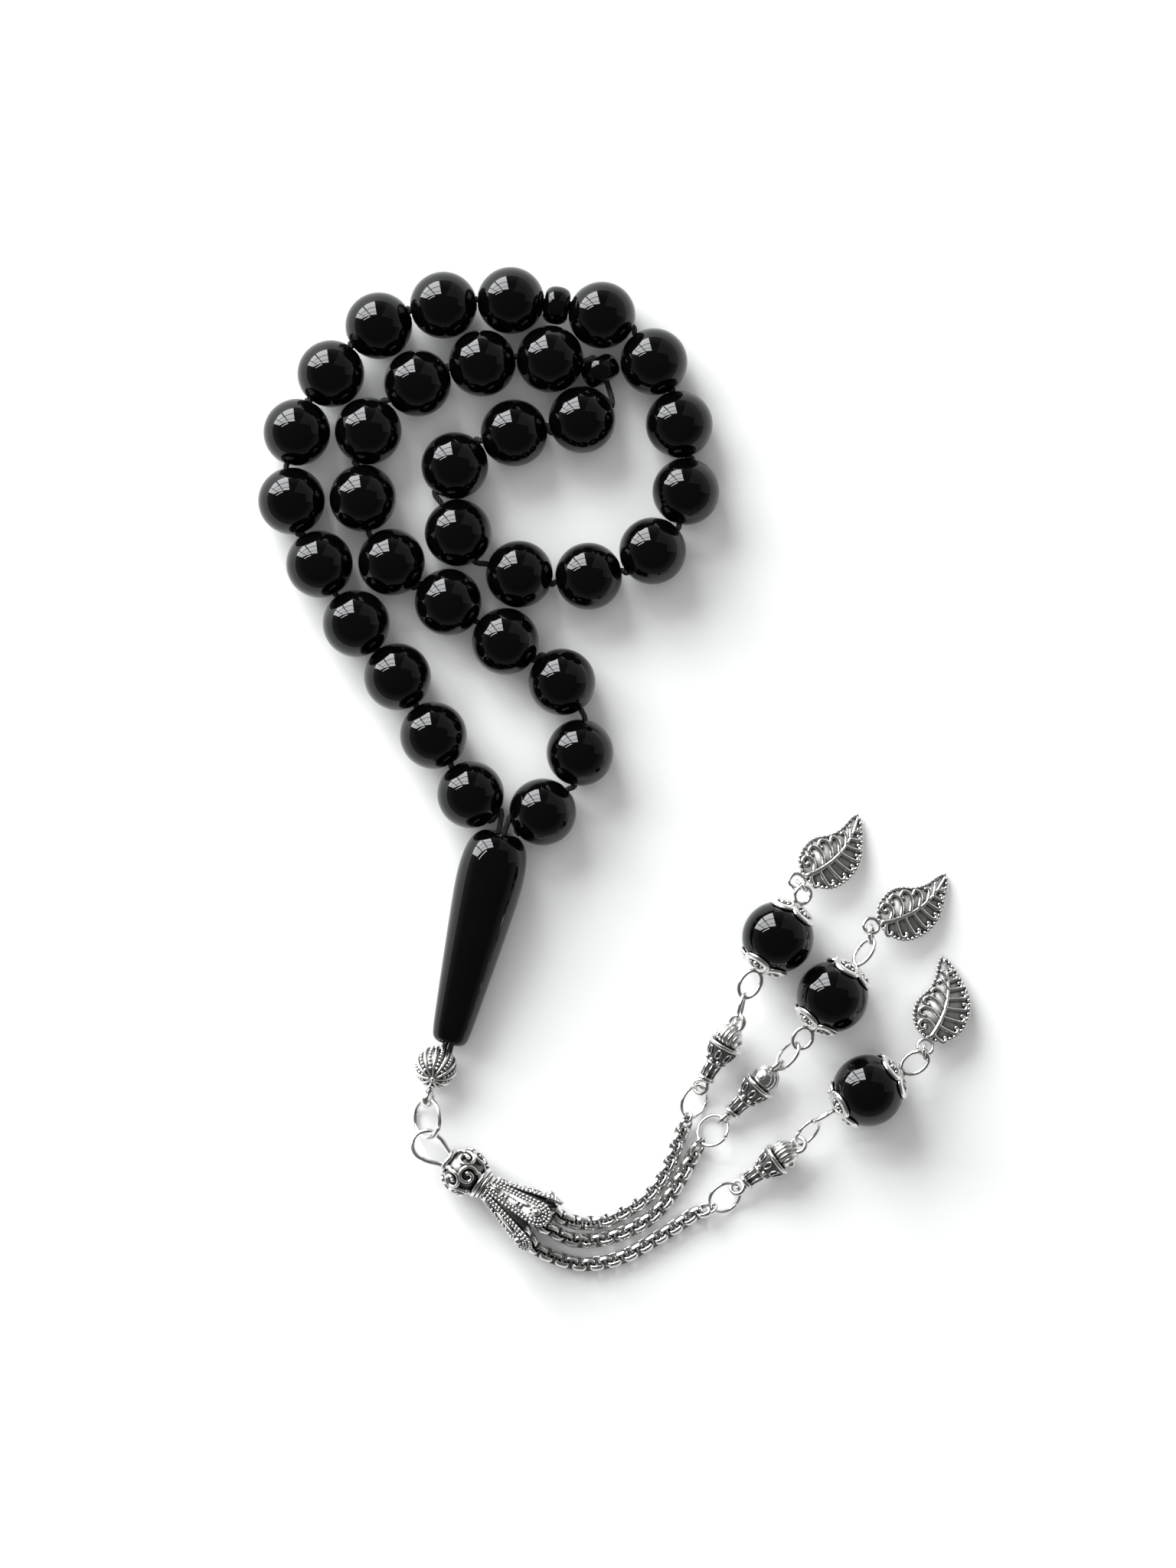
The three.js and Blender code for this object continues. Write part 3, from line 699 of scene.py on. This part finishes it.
def petal_form():
    """One petal's raised work: a double border of granules, a boss with a ring of granules, two long bars,
    four cross bars and a broad bar beside them."""
    details = [granule for inset, size in BORDERS for granule in petal_border(inset, size)]
    details.append(ball(on_cone(BOSS_AT, 0, 0.18), BOSS_RADIUS, 16))
    for turn in range(0, 360, 36):
        a = math.radians(turn)
        middle = on_cone(BOSS_AT + BOSS_RING * math.cos(a), BOSS_RING * math.sin(a), 0.1)
        details.append(ball(middle, 0.2, 8))
    for across in (-0.22, 0.22):
        bar = [on_cone(along, across, 0.14) for along in (0.3, 1.2, 2.3)]
        details.append(tube(bar, [0.12, 0.22, 0.12], 8))
    for along in (2.8, 3.5, 5.4, 6.1):
        bar = [on_cone(along, across, lift) for across, lift in ((-0.15, 0.12), (0.35, 0.2), (0.85, 0.12))]
        details.append(tube(bar, 0.22, 8))
    broad_bar = [on_cone(along, -0.32 - 0.05 * along / 7, 0.1) for along in np.linspace(3.6, 7.3, 9)]
    details.append(tube(broad_bar, [0.16, 0.3, 0.36, 0.38, 0.4, 0.42, 0.42, 0.36, 0.16], 10, flat=0.5))
    return joined(*details)


def cone_form():
    """The cone's dark ground and wall, and the bright work raised on its petals."""
    grounds = []
    raised = []
    for number in range(PETALS):
        turn = Matrix.Rotation(math.radians(360 * number / PETALS + PETAL_TURN), 4, "X")
        grounds.append(moved(petal_plate(), turn))
        raised.append(moved(petal_form(), turn))
    wall = turned(CONE_WALL, 40, closed=True)
    throat = turned(CONE_THROAT, 40, closed=True)
    return joined(wall, *grounds), joined(throat, *raised)


def make_end_ball():
    at = joint_point("end_ball_turn")
    place = placing(at, joint_point("oval_ring_lift") - at)
    core, decor, bail = end_ball_form()
    put("end_ball_core", core, place, OXIDE, "end_ball", ["end_ball"])
    put("end_ball_ribs", decor, place, SILVER, "end_ball")
    put("end_ball_bail", bail, place, WIRE, "end_ball")


def make_trunk_ring():
    near = joint_point("oval_ring_lift")
    far = joint_point("tassel_swing")
    place = placing((near + far) / 2, far - near, TRUNK_RING_ROLL)
    ring = wire_ring((far - near).length / 2, TRUNK_WIRE, gap=2, seam=70)
    put("trunk_ring", ring, place, WIRE, "oval_ring", ["oval_ring"])


def make_tassel_head():
    """The eye pin, and the filigree ball and the cone on it."""
    at = joint_point("filigree_ball_spin")
    along = joint_axis("filigree_ball_spin")
    place = placing(at, along, PIN_ROLL)
    put("eye_pin", tassel_pin_form(), place, WIRE, "tassel_pin", ["tassel_pin"])
    core, scrolls = filigree_form()
    place = placing(at, along, FILIGREE_ROLL)
    put("filigree_core", core, place, OXIDE, "filigree_ball", ["filigree_ball"])
    put("filigree_scrolls", scrolls, place, SILVER, "filigree_ball")
    ground, raised = cone_form()
    place = placing(joint_point("cone_cap_spin"), along)
    put("cone_petals", ground, place, OXIDE, "cone_cap", ["cone_cap"])
    put("cone_granules", raised, place, SILVER, "cone_cap")


# ---- The strands ----
BOX_HALF = 0.98
BOX_STEPS = 20
BOX_POWER = 0.55  # 1 bends a link round, and 0 square
BOX_WIDENING = 2.5  # how much wider a link's strip is than it is thick
BOX_ROLL = 45
FIRST_LEAD = 0.55  # from the round link on the cone's inner ring to the middle of the first box link
LAST_LEAD = 0.5


def boxed(share):
    return math.copysign(abs(share) ** BOX_POWER, share) * BOX_HALF


def box_link():
    """One link of the chain: a flat strip bent into a rounded box, open along its own Y."""
    turns = [2 * math.pi * step / BOX_STEPS for step in range(BOX_STEPS)]
    path = [(boxed(math.cos(turn)), 0, boxed(math.sin(turn))) for turn in turns]
    return tube(path, LINK_WIRE, 8, closed=True, flat=BOX_WIDENING, normal=(0, 1, 0))


def chain_form(strand, number):
    """A strand's chain: box links, each turned across the one before, between two round links."""
    hook_middle = joint_point("filigree_ball_spin") + joint_axis("filigree_ball_spin") * HOOK_AT
    hook = joint_point(f"chain_{number}_lift")
    out = (hook - hook_middle).normalized()
    end = joint_point(f"jump_ring_{number}_lift")
    points = [ROUTE_ORIGIN + Vector(point) for point in strand["chain"]]
    start = hook + out * (LINK_RADIUS + FIRST_LEAD)
    finish = end + (points[-1] - end).normalized() * (LINK_RADIUS + LAST_LEAD)
    route = smoothed([start, *points, finish], 8)
    link = box_link()
    links = []
    for index, (point, direction) in enumerate(lengthwise(route, CHAIN_PITCH)):
        roll = BOX_ROLL if index % 2 else -BOX_ROLL
        links.append(moved(link, placing(point, direction, roll)))
    first = moved(wire_ring(LINK_RADIUS, LINK_WIRE), placing(hook, out, 90 + PIN_ROLL))
    ring_along = joint_point(f"torch_{number}_lift") - end
    last = moved(wire_ring(LINK_RADIUS, LINK_WIRE), placing(end, ring_along, 90 + strand["ring_roll"]))
    return joined(first, *links, last)


# The torch's outlines, as distances from its lower eye's middle, and radii.
TORCH_COLLAR = [(1.2, 0.5), (1.25, 1.2), (1.4, 1.42), (1.75, 1.42), (1.95, 1.15), (2.0, 0.8)]
TORCH_WAIST = [(4.05, 1.0), (4.1, 1.3), (4.25, 1.38), (4.4, 1.3), (4.45, 1.0)]
TORCH_LIP = [(7.0, 1.9), (7.1, 2.45), (7.3, 2.66), (7.55, 2.7), (7.72, 2.55), (7.6, 2.2), (7.3, 1.9)]
TORCH_GROUND = [(1.9, 0.7), (2.0, 0.92), (4.2, 1.12), (4.5, 1.3), (5.2, 1.6), (6.2, 1.98), (7.1, 2.35),
                (7.5, 2.45), (7.45, 2.2), (7.0, 1.6), (6.6, 0.3)]
TORCH_RAIL = [(2.0, 0, 0.98), (3.0, 0, 1.05), (4.05, 0, 1.18)]
TORCH_REPEATS = 8  # balls, ovals and rails round the torch
FLAME_RADIUS = 2.1
FLAME_RIBS = 6
FLAME_GROOVE = 0.32
FLAME_AT = 8.8
STEPS_A_RIB = 10
LOWER_EYE = (1.05, 0.37)  # an eye's radius and its wire's
UPPER_EYE = (1.12, 0.36)


def flame_outline():
    """The outline of a shell-like flame: curved ribs side by side, with deep grooves between them."""
    steps = FLAME_RIBS * STEPS_A_RIB
    outline = []
    for step in range(steps + 1):
        share = step / steps
        across = (2 * share - 1) * (FLAME_RADIUS - 0.03)
        groove = (0.5 + 0.5 * math.cos(2 * math.pi * FLAME_RIBS * share)) ** 3
        depth = FLAME_GROOVE * groove * min(1.0, 1.3 - share)
        radius = math.sqrt(FLAME_RADIUS ** 2 - across * across) - depth
        outline.append((across, max(radius, 0.05)))
    return outline


def torch_form(length):
    """A torch charm's bright work: its eyes, collar, waist, lip, balls, ovals, rails and ribbed flame."""
    parts = [turned(TORCH_COLLAR, 40), turned(TORCH_WAIST, 40), turned(TORCH_LIP, 48, closed=True)]
    oval = [(6.0 + 0.72 * math.cos(a), 0.36 * math.sin(a), 2.02 + 0.26 * math.cos(a))
            for a in np.arange(16) * 2 * math.pi / 16]
    for number in range(TORCH_REPEATS):
        turn = Matrix.Rotation(2 * math.pi * number / TORCH_REPEATS, 4, "X")
        half_turn = Matrix.Rotation(2 * math.pi * (number + 0.5) / TORCH_REPEATS, 4, "X")
        parts.append(moved(ball((4.75, 0, 1.5), 0.36, 12), turn))
        parts.append(moved(tube(oval, 0.11, 6, closed=True), half_turn))
        parts.append(moved(tube(TORCH_RAIL, 0.13, 6), half_turn))
    across = Matrix.Rotation(math.pi / 2, 4, "Z")
    flame = moved(turned(flame_outline(), 40), Matrix.Translation((FLAME_AT, 0, 0)) @ across)
    bosses = [ball((8.9, side, 0), 0.5, 14) for side in (1.95, -1.95)]
    lower = wire_ring(*LOWER_EYE)
    upper = shifted(wire_ring(*UPPER_EYE), length)
    return joined(*parts, flame, *bosses, lower, upper)


def torch_ground_form():
    """A torch charm's dark ground: its handle and its cup."""
    return turned(TORCH_GROUND, 48)


def domed_plate(edge, middle, inward):
    """A thin plate over a closed edge, raised to a middle point, with its underside moved by a vector."""
    count = len(edge)
    top = [*edge, middle]
    points = np.array([list(point) for point in top] + [list(point + inward) for point in top])
    faces = []
    for index in range(count):
        after = (index + 1) % count
        faces.append((index, after, count))
        faces.append((after + count + 1, index + count + 1, 2 * count + 1))
        faces.append((after, index, index + count + 1, after + count + 1))
    return points, faces


CAP_TURNS = (0, 90, 180, 270)
# Half of one petal's edge on a drop bead: degrees from the bead's end, and degrees to a side.
CAP_EDGE = [(8, 0), (9, -22), (16, -38), (26, -41), (35, -32), (39, -17), (40.5, 0)]
CAP_MIDDLE = 25  # degrees from the bead's end to a petal's middle
CAP_FRAME = 0.56  # half the width of a petal's frame
CAP_FLATTENING = 0.52
# Each knob in a petal: its degrees from the bead's end and to a side, and its radius.
CAP_KNOBS = [(29, 0, 0.5), (19.5, 0, 0.34), (27, 20, 0.28), (27, -20, 0.28)]
# The cap's button: distances along from its petals' frames, and radii.
CAP_BUTTON = [(-0.35, 0.35), (-0.15, 1.2), (0.15, 1.05), (0.35, 0.35)]
CAP_FRAME_LIFT = 0.26  # from the bead's face
CAP_GROUND_LIFT = 0.18
CAP_GROUND_THICKNESS = 0.12


def cap_edge(radius, turn):
    """A petal's edge, its frame's middle line."""
    half = [on_ball(radius, turn + side, tilt) for tilt, side in CAP_EDGE]
    other = [on_ball(radius, turn - side, tilt) for tilt, side in reversed(CAP_EDGE[1:-1])]
    return half + other


def petal_cap_form():
    """A four-petal cap's bright work: a button, thick petal frames and small knobs in them."""
    radius = DROP_RADIUS + CAP_FRAME_LIFT
    parts = [shifted(turned(CAP_BUTTON, 24), radius)]
    for turn in CAP_TURNS:
        edge = smoothed(cap_edge(radius, turn), 3, closed=True)
        parts.append(tube(edge, CAP_FRAME, 10, closed=True, flat=CAP_FLATTENING, normal=(1, 0, 0)))
        for tilt, side, size in CAP_KNOBS:
            parts.append(ball(on_ball(radius, turn + side, tilt), size, 10))
    return joined(*parts)


def cap_ground_form():
    """The dark plates inside a cap's petal frames."""
    radius = DROP_RADIUS + CAP_GROUND_LIFT
    inward = Vector((-CAP_GROUND_THICKNESS, 0, 0))
    plates = [domed_plate(cap_edge(radius, turn), on_ball(radius, turn, CAP_MIDDLE), inward)
              for turn in CAP_TURNS]
    return joined(*plates)


# The leaf's shapes lie flat, with their first number along the leaf from its blade's base.
# Its edge runs from the base round the narrow side to the tip and back round the full side.
LEAF_EDGE = [(0.2, 1.1), (1.4, 2.4), (3.5, 3.0), (5.5, 2.6), (7.4, 1.2), (9.3, 0.5), (11.4, 0.4),
             (12.55, 0.1), (12.2, -0.9), (10.7, -2.4), (8.9, -3.9), (7.1, -4.9), (4.9, -5.3), (2.6, -4.9),
             (1.0, -4.0), (0, -2.5), (-0.3, -1.2), (-0.2, 0.1)]
# The veins on the narrow side, each from the midrib to the end of its curl.
LEAF_HOOKS = [
    [(1.4, -0.55), (2.4, 0.3), (2.6, 1.3), (2.0, 1.95), (1.3, 1.7), (1.25, 1.05), (1.7, 0.95)],
    [(3.0, -1.1), (4.1, 0.0), (4.5, 1.3), (4.0, 2.2), (3.2, 2.0), (3.2, 1.35)],
    [(4.6, -1.45), (5.7, -0.3), (6.2, 0.9), (5.7, 1.75), (4.95, 1.5), (5.0, 0.95)],
    [(6.2, -1.65), (7.2, -0.7), (7.6, 0.2), (7.2, 0.8), (6.6, 0.5)],
    [(7.7, -1.7), (8.7, -0.95), (9.1, -0.3), (8.7, 0.05)],
    [(9.1, -1.45), (10.0, -0.75), (10.4, -0.25)],
]
# Each vein on the full side: where it leaves the midrib, its heading, its length and its hook's radius.
LEAF_VEINS = [(0.7, -125, 2.1, 0.45), (2.1, -108, 3.0, 0.5), (3.5, -96, 3.3, 0.5), (4.9, -86, 3.2, 0.48),
              (6.3, -76, 2.8, 0.44), (7.7, -68, 2.2, 0.4), (9.0, -60, 1.5, 0.33), (10.2, -52, 0.9, 0.2)]
LEAF_BLADE_AT = (1.5, -0.45)  # from the eye's centre to the blade's base
BLADE_LENGTH = 12.6
BLADE_THICKNESS = 0.45
RIM_SPACING = 0.72
RIM_GRANULE = 0.31
MIDRIB_BOW = -1.75
MIDRIB_BASE = 0.42
MIDRIB_NARROWING = 0.24
MIDRIB_STEPS = 25
VEIN_LIFT = 0.08  # from the blade's face to the veins' middles
LEAF_EYE = (1.15, 0.32)  # its radius and its wire's


def leaf_rim():
    return smoothed([(x, y, 0) for x, y in LEAF_EDGE], 5, closed=True)


def midrib_across(along):
    """How far across the midrib lies at a distance along the leaf."""
    return MIDRIB_BOW * math.sin(math.pi * min(1.0, max(0.0, along / BLADE_LENGTH))) ** 0.8


def tapered(path, radius, narrowing, end):
    """A rod along a path that narrows towards a round end of its own radius."""
    radii = [radius - narrowing * index / len(path) for index in range(len(path))]
    return joined(tube(path, radii, 8), ball(path[-1], end, 8))


def hooked_vein(along, turn, length, hook):
    """A vein from the midrib out to the rim, hooked back at its end towards the leaf's tip."""
    out = heading(turn)
    tipward = UP.cross(out)
    root = Vector((along, midrib_across(along), VEIN_LIFT))
    bow = [root, root + out * length * 0.35 - tipward * 0.12, root + out * (length - hook) - tipward * 0.1]
    centre = root + out * (length - hook) + tipward * (hook - 0.1)
    bow += [centre + (out * math.sin(math.radians(a)) - tipward * math.cos(math.radians(a))) * hook
            for a in range(30, 181, 30)]
    return tapered(smoothed(bow, 4), 0.33, 0.08, 0.3)


def leaf_ground_form():
    """The leaf's thin dark ground."""
    rim = leaf_rim()
    count = len(rim)
    points = [list(point) for point in rim] + [[point.x, point.y, -BLADE_THICKNESS] for point in rim]
    faces = [tuple(range(count))[::-1], tuple(range(count, 2 * count))]
    for index in range(count):
        after = (index + 1) % count
        faces.append((index, after, after + count, index + count))
    return shifted((np.array(points), faces), *LEAF_BLADE_AT)


def leaf_form():
    """The leaf's raised work: a granulated edge, a midrib, hooked veins on both sides, and the eye."""
    centre = Vector((5.5, -1.5, 0))
    parts = []
    rim = leaf_rim()
    for point, _ in lengthwise(rim + rim[:1], RIM_SPACING)[:-1]:
        inset = (centre - point).normalized() * 0.08
        parts.append(ball(point + inset + UP * 0.03, RIM_GRANULE, 8))
    midrib = [(along, midrib_across(along), 0.14) for along in np.linspace(-0.1, 12.4, MIDRIB_STEPS + 1)]
    radii = [MIDRIB_BASE - MIDRIB_NARROWING * index / MIDRIB_STEPS for index in range(MIDRIB_STEPS + 1)]
    parts.append(tube(midrib, radii, 10))
    for hook in LEAF_HOOKS:
        parts.append(tapered(smoothed([(x, y, VEIN_LIFT) for x, y in hook], 6), 0.36, 0.09, 0.33))
    parts += [hooked_vein(*vein) for vein in LEAF_VEINS]
    blade = shifted(joined(*parts), *LEAF_BLADE_AT)
    return joined(blade, wire_ring(*LEAF_EYE))


def oval_ring(start, end, wide, roll):
    """An oval wire ring whose ends' wire middles are at two points, in the row frame."""
    ring = wire_ring((end - start).length / 2, JUMP_WIRE, wide, gap=3, seam=100)
    return moved(ring, placing((start + end) / 2, end - start, roll))


def make_chain(strand, number):
    body = f"chain_{number}"
    put(f"box_chain_{number}", chain_form(strand, number), HERE, SILVER, body, [body])


def make_jump_ring(strand, number):
    near = joint_point(f"jump_ring_{number}_lift")
    far = joint_point(f"torch_{number}_lift")
    place = placing((near + far) / 2, far - near, strand["ring_roll"])
    ring = wire_ring(JUMP_RADIUS, JUMP_WIRE, gap=3, seam=-75)
    body = f"jump_ring_{number}"
    put(f"wire_ring_{number}", ring, place, WIRE, body, [body])


def make_torch(strand, number):
    lower = joint_point(f"torch_{number}_lift")
    upper = joint_point(f"drop_{number}_lift")
    place = placing(lower, upper - lower, strand["torch_roll"])
    form = torch_form((upper - lower).length)
    body = f"torch_{number}"
    put(f"torch_charm_{number}", form, place, SILVER, body, [body])
    put(f"torch_ground_{number}", torch_ground_form(), place, OXIDE, body)


def head_pin_form(lower_loop, upper_loop):
    """A drop bead's head pin, with an oval loop at each end."""
    neck = DROP_RADIUS + PIN_NECK
    parts = [tube([(-neck, 0, 0), (neck, 0, 0)], HEAD_PIN_RADIUS, 10)]
    for side, (reach, wide, roll) in ((-1, lower_loop), (1, upper_loop)):
        turn = Matrix.Rotation(math.radians(roll), 4, "X")
        loop_place = Matrix.Translation((side * (neck + reach), 0, 0)) @ turn
        parts.append(moved(wire_ring(reach, PIN_WIRE, wide), loop_place))
    return joined(*parts)


def make_drop(strand, number):
    """A drop bead, its head pin and petal caps, and the rings that tie it to its torch and its leaf."""
    bead = f"drop_bead_{number}"
    at = joint_point(bead + "_spin")
    along = joint_axis(bead + "_spin")
    place = placing(at, along)
    put("polished_" + bead, bead_form(DROP_RADIUS, DROP_BORE, 96, 56), place, ONYX, bead, [bead])

    body = f"drop_pin_{number}"
    lower_loop = strand["lower_loop"]
    upper_loop = strand["upper_loop"]
    pin = head_pin_form(lower_loop, upper_loop)
    put(f"head_pin_{number}", pin, place, WIRE, body, [body])
    for side, roll, word in ((-1, strand["cap_rolls"][0], "lower"), (1, strand["cap_rolls"][1], "upper")):
        cap_place = placing(at, along * side, roll)
        put(f"petal_cap_{word}_{number}", petal_cap_form(), cap_place, WIRE, body)
        put(f"petal_cap_{word}_ground_{number}", cap_ground_form(), cap_place, OXIDE, body)

    reach = DROP_RADIUS + PIN_NECK - WIRE_CONTACT
    lower_end = at - along * (reach + 2 * lower_loop[0])
    upper_end = at + along * (reach + 2 * upper_loop[0])
    link = oval_ring(joint_point(f"drop_{number}_lift"), lower_end, LINK_HALF_WIDTH, strand["link_roll"])
    put(f"torch_link_{number}", link, HERE, WIRE, body)
    tie = oval_ring(upper_end, joint_point(f"leaf_{number}_swing"), *strand["tie"])
    put(f"leaf_link_{number}", tie, HERE, WIRE, body)


def make_leaf(strand, number):
    eye = joint_point(f"leaf_{number}_swing")
    tip = eye + heading(strand["leaf_heading"]) * LEAF_REACH
    tip.z = LEAF_TIP_HEIGHT
    place = placing(eye, tip - eye)
    body = f"leaf_{number}"
    put(f"leaf_charm_{number}", leaf_form(), place, SILVER, body, [body])
    put(f"leaf_ground_{number}", leaf_ground_form(), place, LEAF_GROUND, body)


# ---- Stage, lights and camera ----
WINDOW_DISTANCE = 0.8
# The window's panes: left, right, bottom and top, as shares of the window's distance.
PANE_COLUMNS = [(-2.6, -1.6), (-1.5, -0.84), (-0.76, -0.2)]
PANE_ROWS = [(0.03, 0.44), (0.49, 0.9), (0.95, 1.32)]
WINDOW_RADIANCE = 16.5
# A long bright strip above the window: its middle and size in the same shares, and its slope in degrees.
STRIP = {"middle": (-1.95, 1.86), "size": (2.0, 0.13), "slope": 16, "radiance": 28.0}
WALL_RADIANCE = 0.26
FILL_RADIANCE = 1.25


def make_floor():
    mesh = bpy.data.meshes.new("table")
    half = 3.0
    corners = [(-half, -half, 0), (half, -half, 0), (half, half, 0), (-half, half, 0)]
    mesh.from_pydata(corners, [], [(0, 1, 2, 3)])
    mesh.materials.append(floor_material())
    floor = bpy.data.objects.new("table", mesh)
    bpy.context.scene.collection.objects.link(floor)


def area_light(name, at, turn, size, radiance, colour=(1, 1, 1)):
    """A rectangle of light whose own radiance is given, whatever its size."""
    light = bpy.data.lights.new(name, "AREA")
    light.shape = "RECTANGLE"
    light.size, light.size_y = size
    light.energy = radiance * math.pi * size[0] * size[1]
    light.color = colour
    lamp = bpy.data.objects.new(name, light)
    lamp.location = at
    lamp.rotation_euler = turn
    bpy.context.scene.collection.objects.link(lamp)
    return lamp


def make_world():
    """A dim room: dark overhead and paler towards its walls."""
    world = bpy.data.worlds.new("room")
    world.use_nodes = True
    nodes = world.node_tree.nodes
    links = world.node_tree.links
    coordinates = nodes.new("ShaderNodeTexCoord")
    height = nodes.new("ShaderNodeSeparateXYZ")
    ramp = nodes.new("ShaderNodeValToRGB")
    walls, ceiling = ramp.color_ramp.elements
    walls.position, walls.color = 0.05, (0.36, 0.36, 0.36, 1)
    ceiling.position, ceiling.color = 0.5, (0.095, 0.095, 0.095, 1)
    links.new(coordinates.outputs["Generated"], height.inputs["Vector"])
    links.new(height.outputs["Z"], ramp.inputs["Fac"])
    links.new(ramp.outputs["Color"], nodes["Background"].inputs["Color"])
    bpy.context.scene.world = world


def make_lights():
    """A paned window and its bright strip, two pale walls, and a fill from above that isn't reflected."""
    facing_object = (math.radians(-90), 0, 0)
    panes = [(left, right, low, high) for left, right in PANE_COLUMNS for low, high in PANE_ROWS]
    for number, (left, right, low, high) in enumerate(panes):
        at = Vector(((left + right) / 2, 1, (low + high) / 2)) * WINDOW_DISTANCE
        size = ((right - left) * WINDOW_DISTANCE, (high - low) * WINDOW_DISTANCE)
        area_light(f"window_pane_{number}", at, facing_object, size, WINDOW_RADIANCE, (0.97, 0.99, 1.0))
    across, above = STRIP["middle"]
    strip_turn = (math.radians(-90), math.radians(STRIP["slope"]), 0)
    strip_size = [side * WINDOW_DISTANCE for side in STRIP["size"]]
    area_light("bright_strip", Vector((across, 1, above)) * WINDOW_DISTANCE, strip_turn, strip_size,
               STRIP["radiance"])
    area_light("back_wall", (1.0, 0.8, 0.7), facing_object, (1.5, 1.4), WALL_RADIANCE)
    area_light("right_wall", (1.75, 0.35, 0.7), (0, math.radians(90), 0), (1.4, 0.9), WALL_RADIANCE)
    fill = area_light("soft_fill", (0, 0, 1.3), (0, 0, 0), (1.8, 1.8), FILL_RADIANCE)
    fill.visible_glossy = False


VIEW_HEIGHT = 0.9  # from the camera to the beads' middles
VIEW_LENGTH = 0.2354  # how much of the table the picture's height covers
VIEW_MIDDLE = (-0.0038, -0.0021)
SENSOR = 36.0


def make_camera():
    camera = bpy.data.cameras.new("camera")
    camera.sensor_fit = "VERTICAL"
    camera.sensor_height = SENSOR
    camera.lens = SENSOR * VIEW_HEIGHT / VIEW_LENGTH
    camera.clip_end = 20
    holder = bpy.data.objects.new("camera", camera)
    holder.location = (*VIEW_MIDDLE, VIEW_HEIGHT + BEAD_RADIUS * MM)
    bpy.context.scene.collection.objects.link(holder)
    bpy.context.scene.camera = holder


make_camera()
make_string()
make_end_ball()
make_trunk_ring()
make_tassel_head()
for number, strand in enumerate(STRANDS, 1):
    for make_piece in (make_chain, make_jump_ring, make_torch, make_drop, make_leaf):
        make_piece(strand, number)
make_floor()
make_lights()
make_world()
bpy.context.scene.view_settings.view_transform = "Standard"
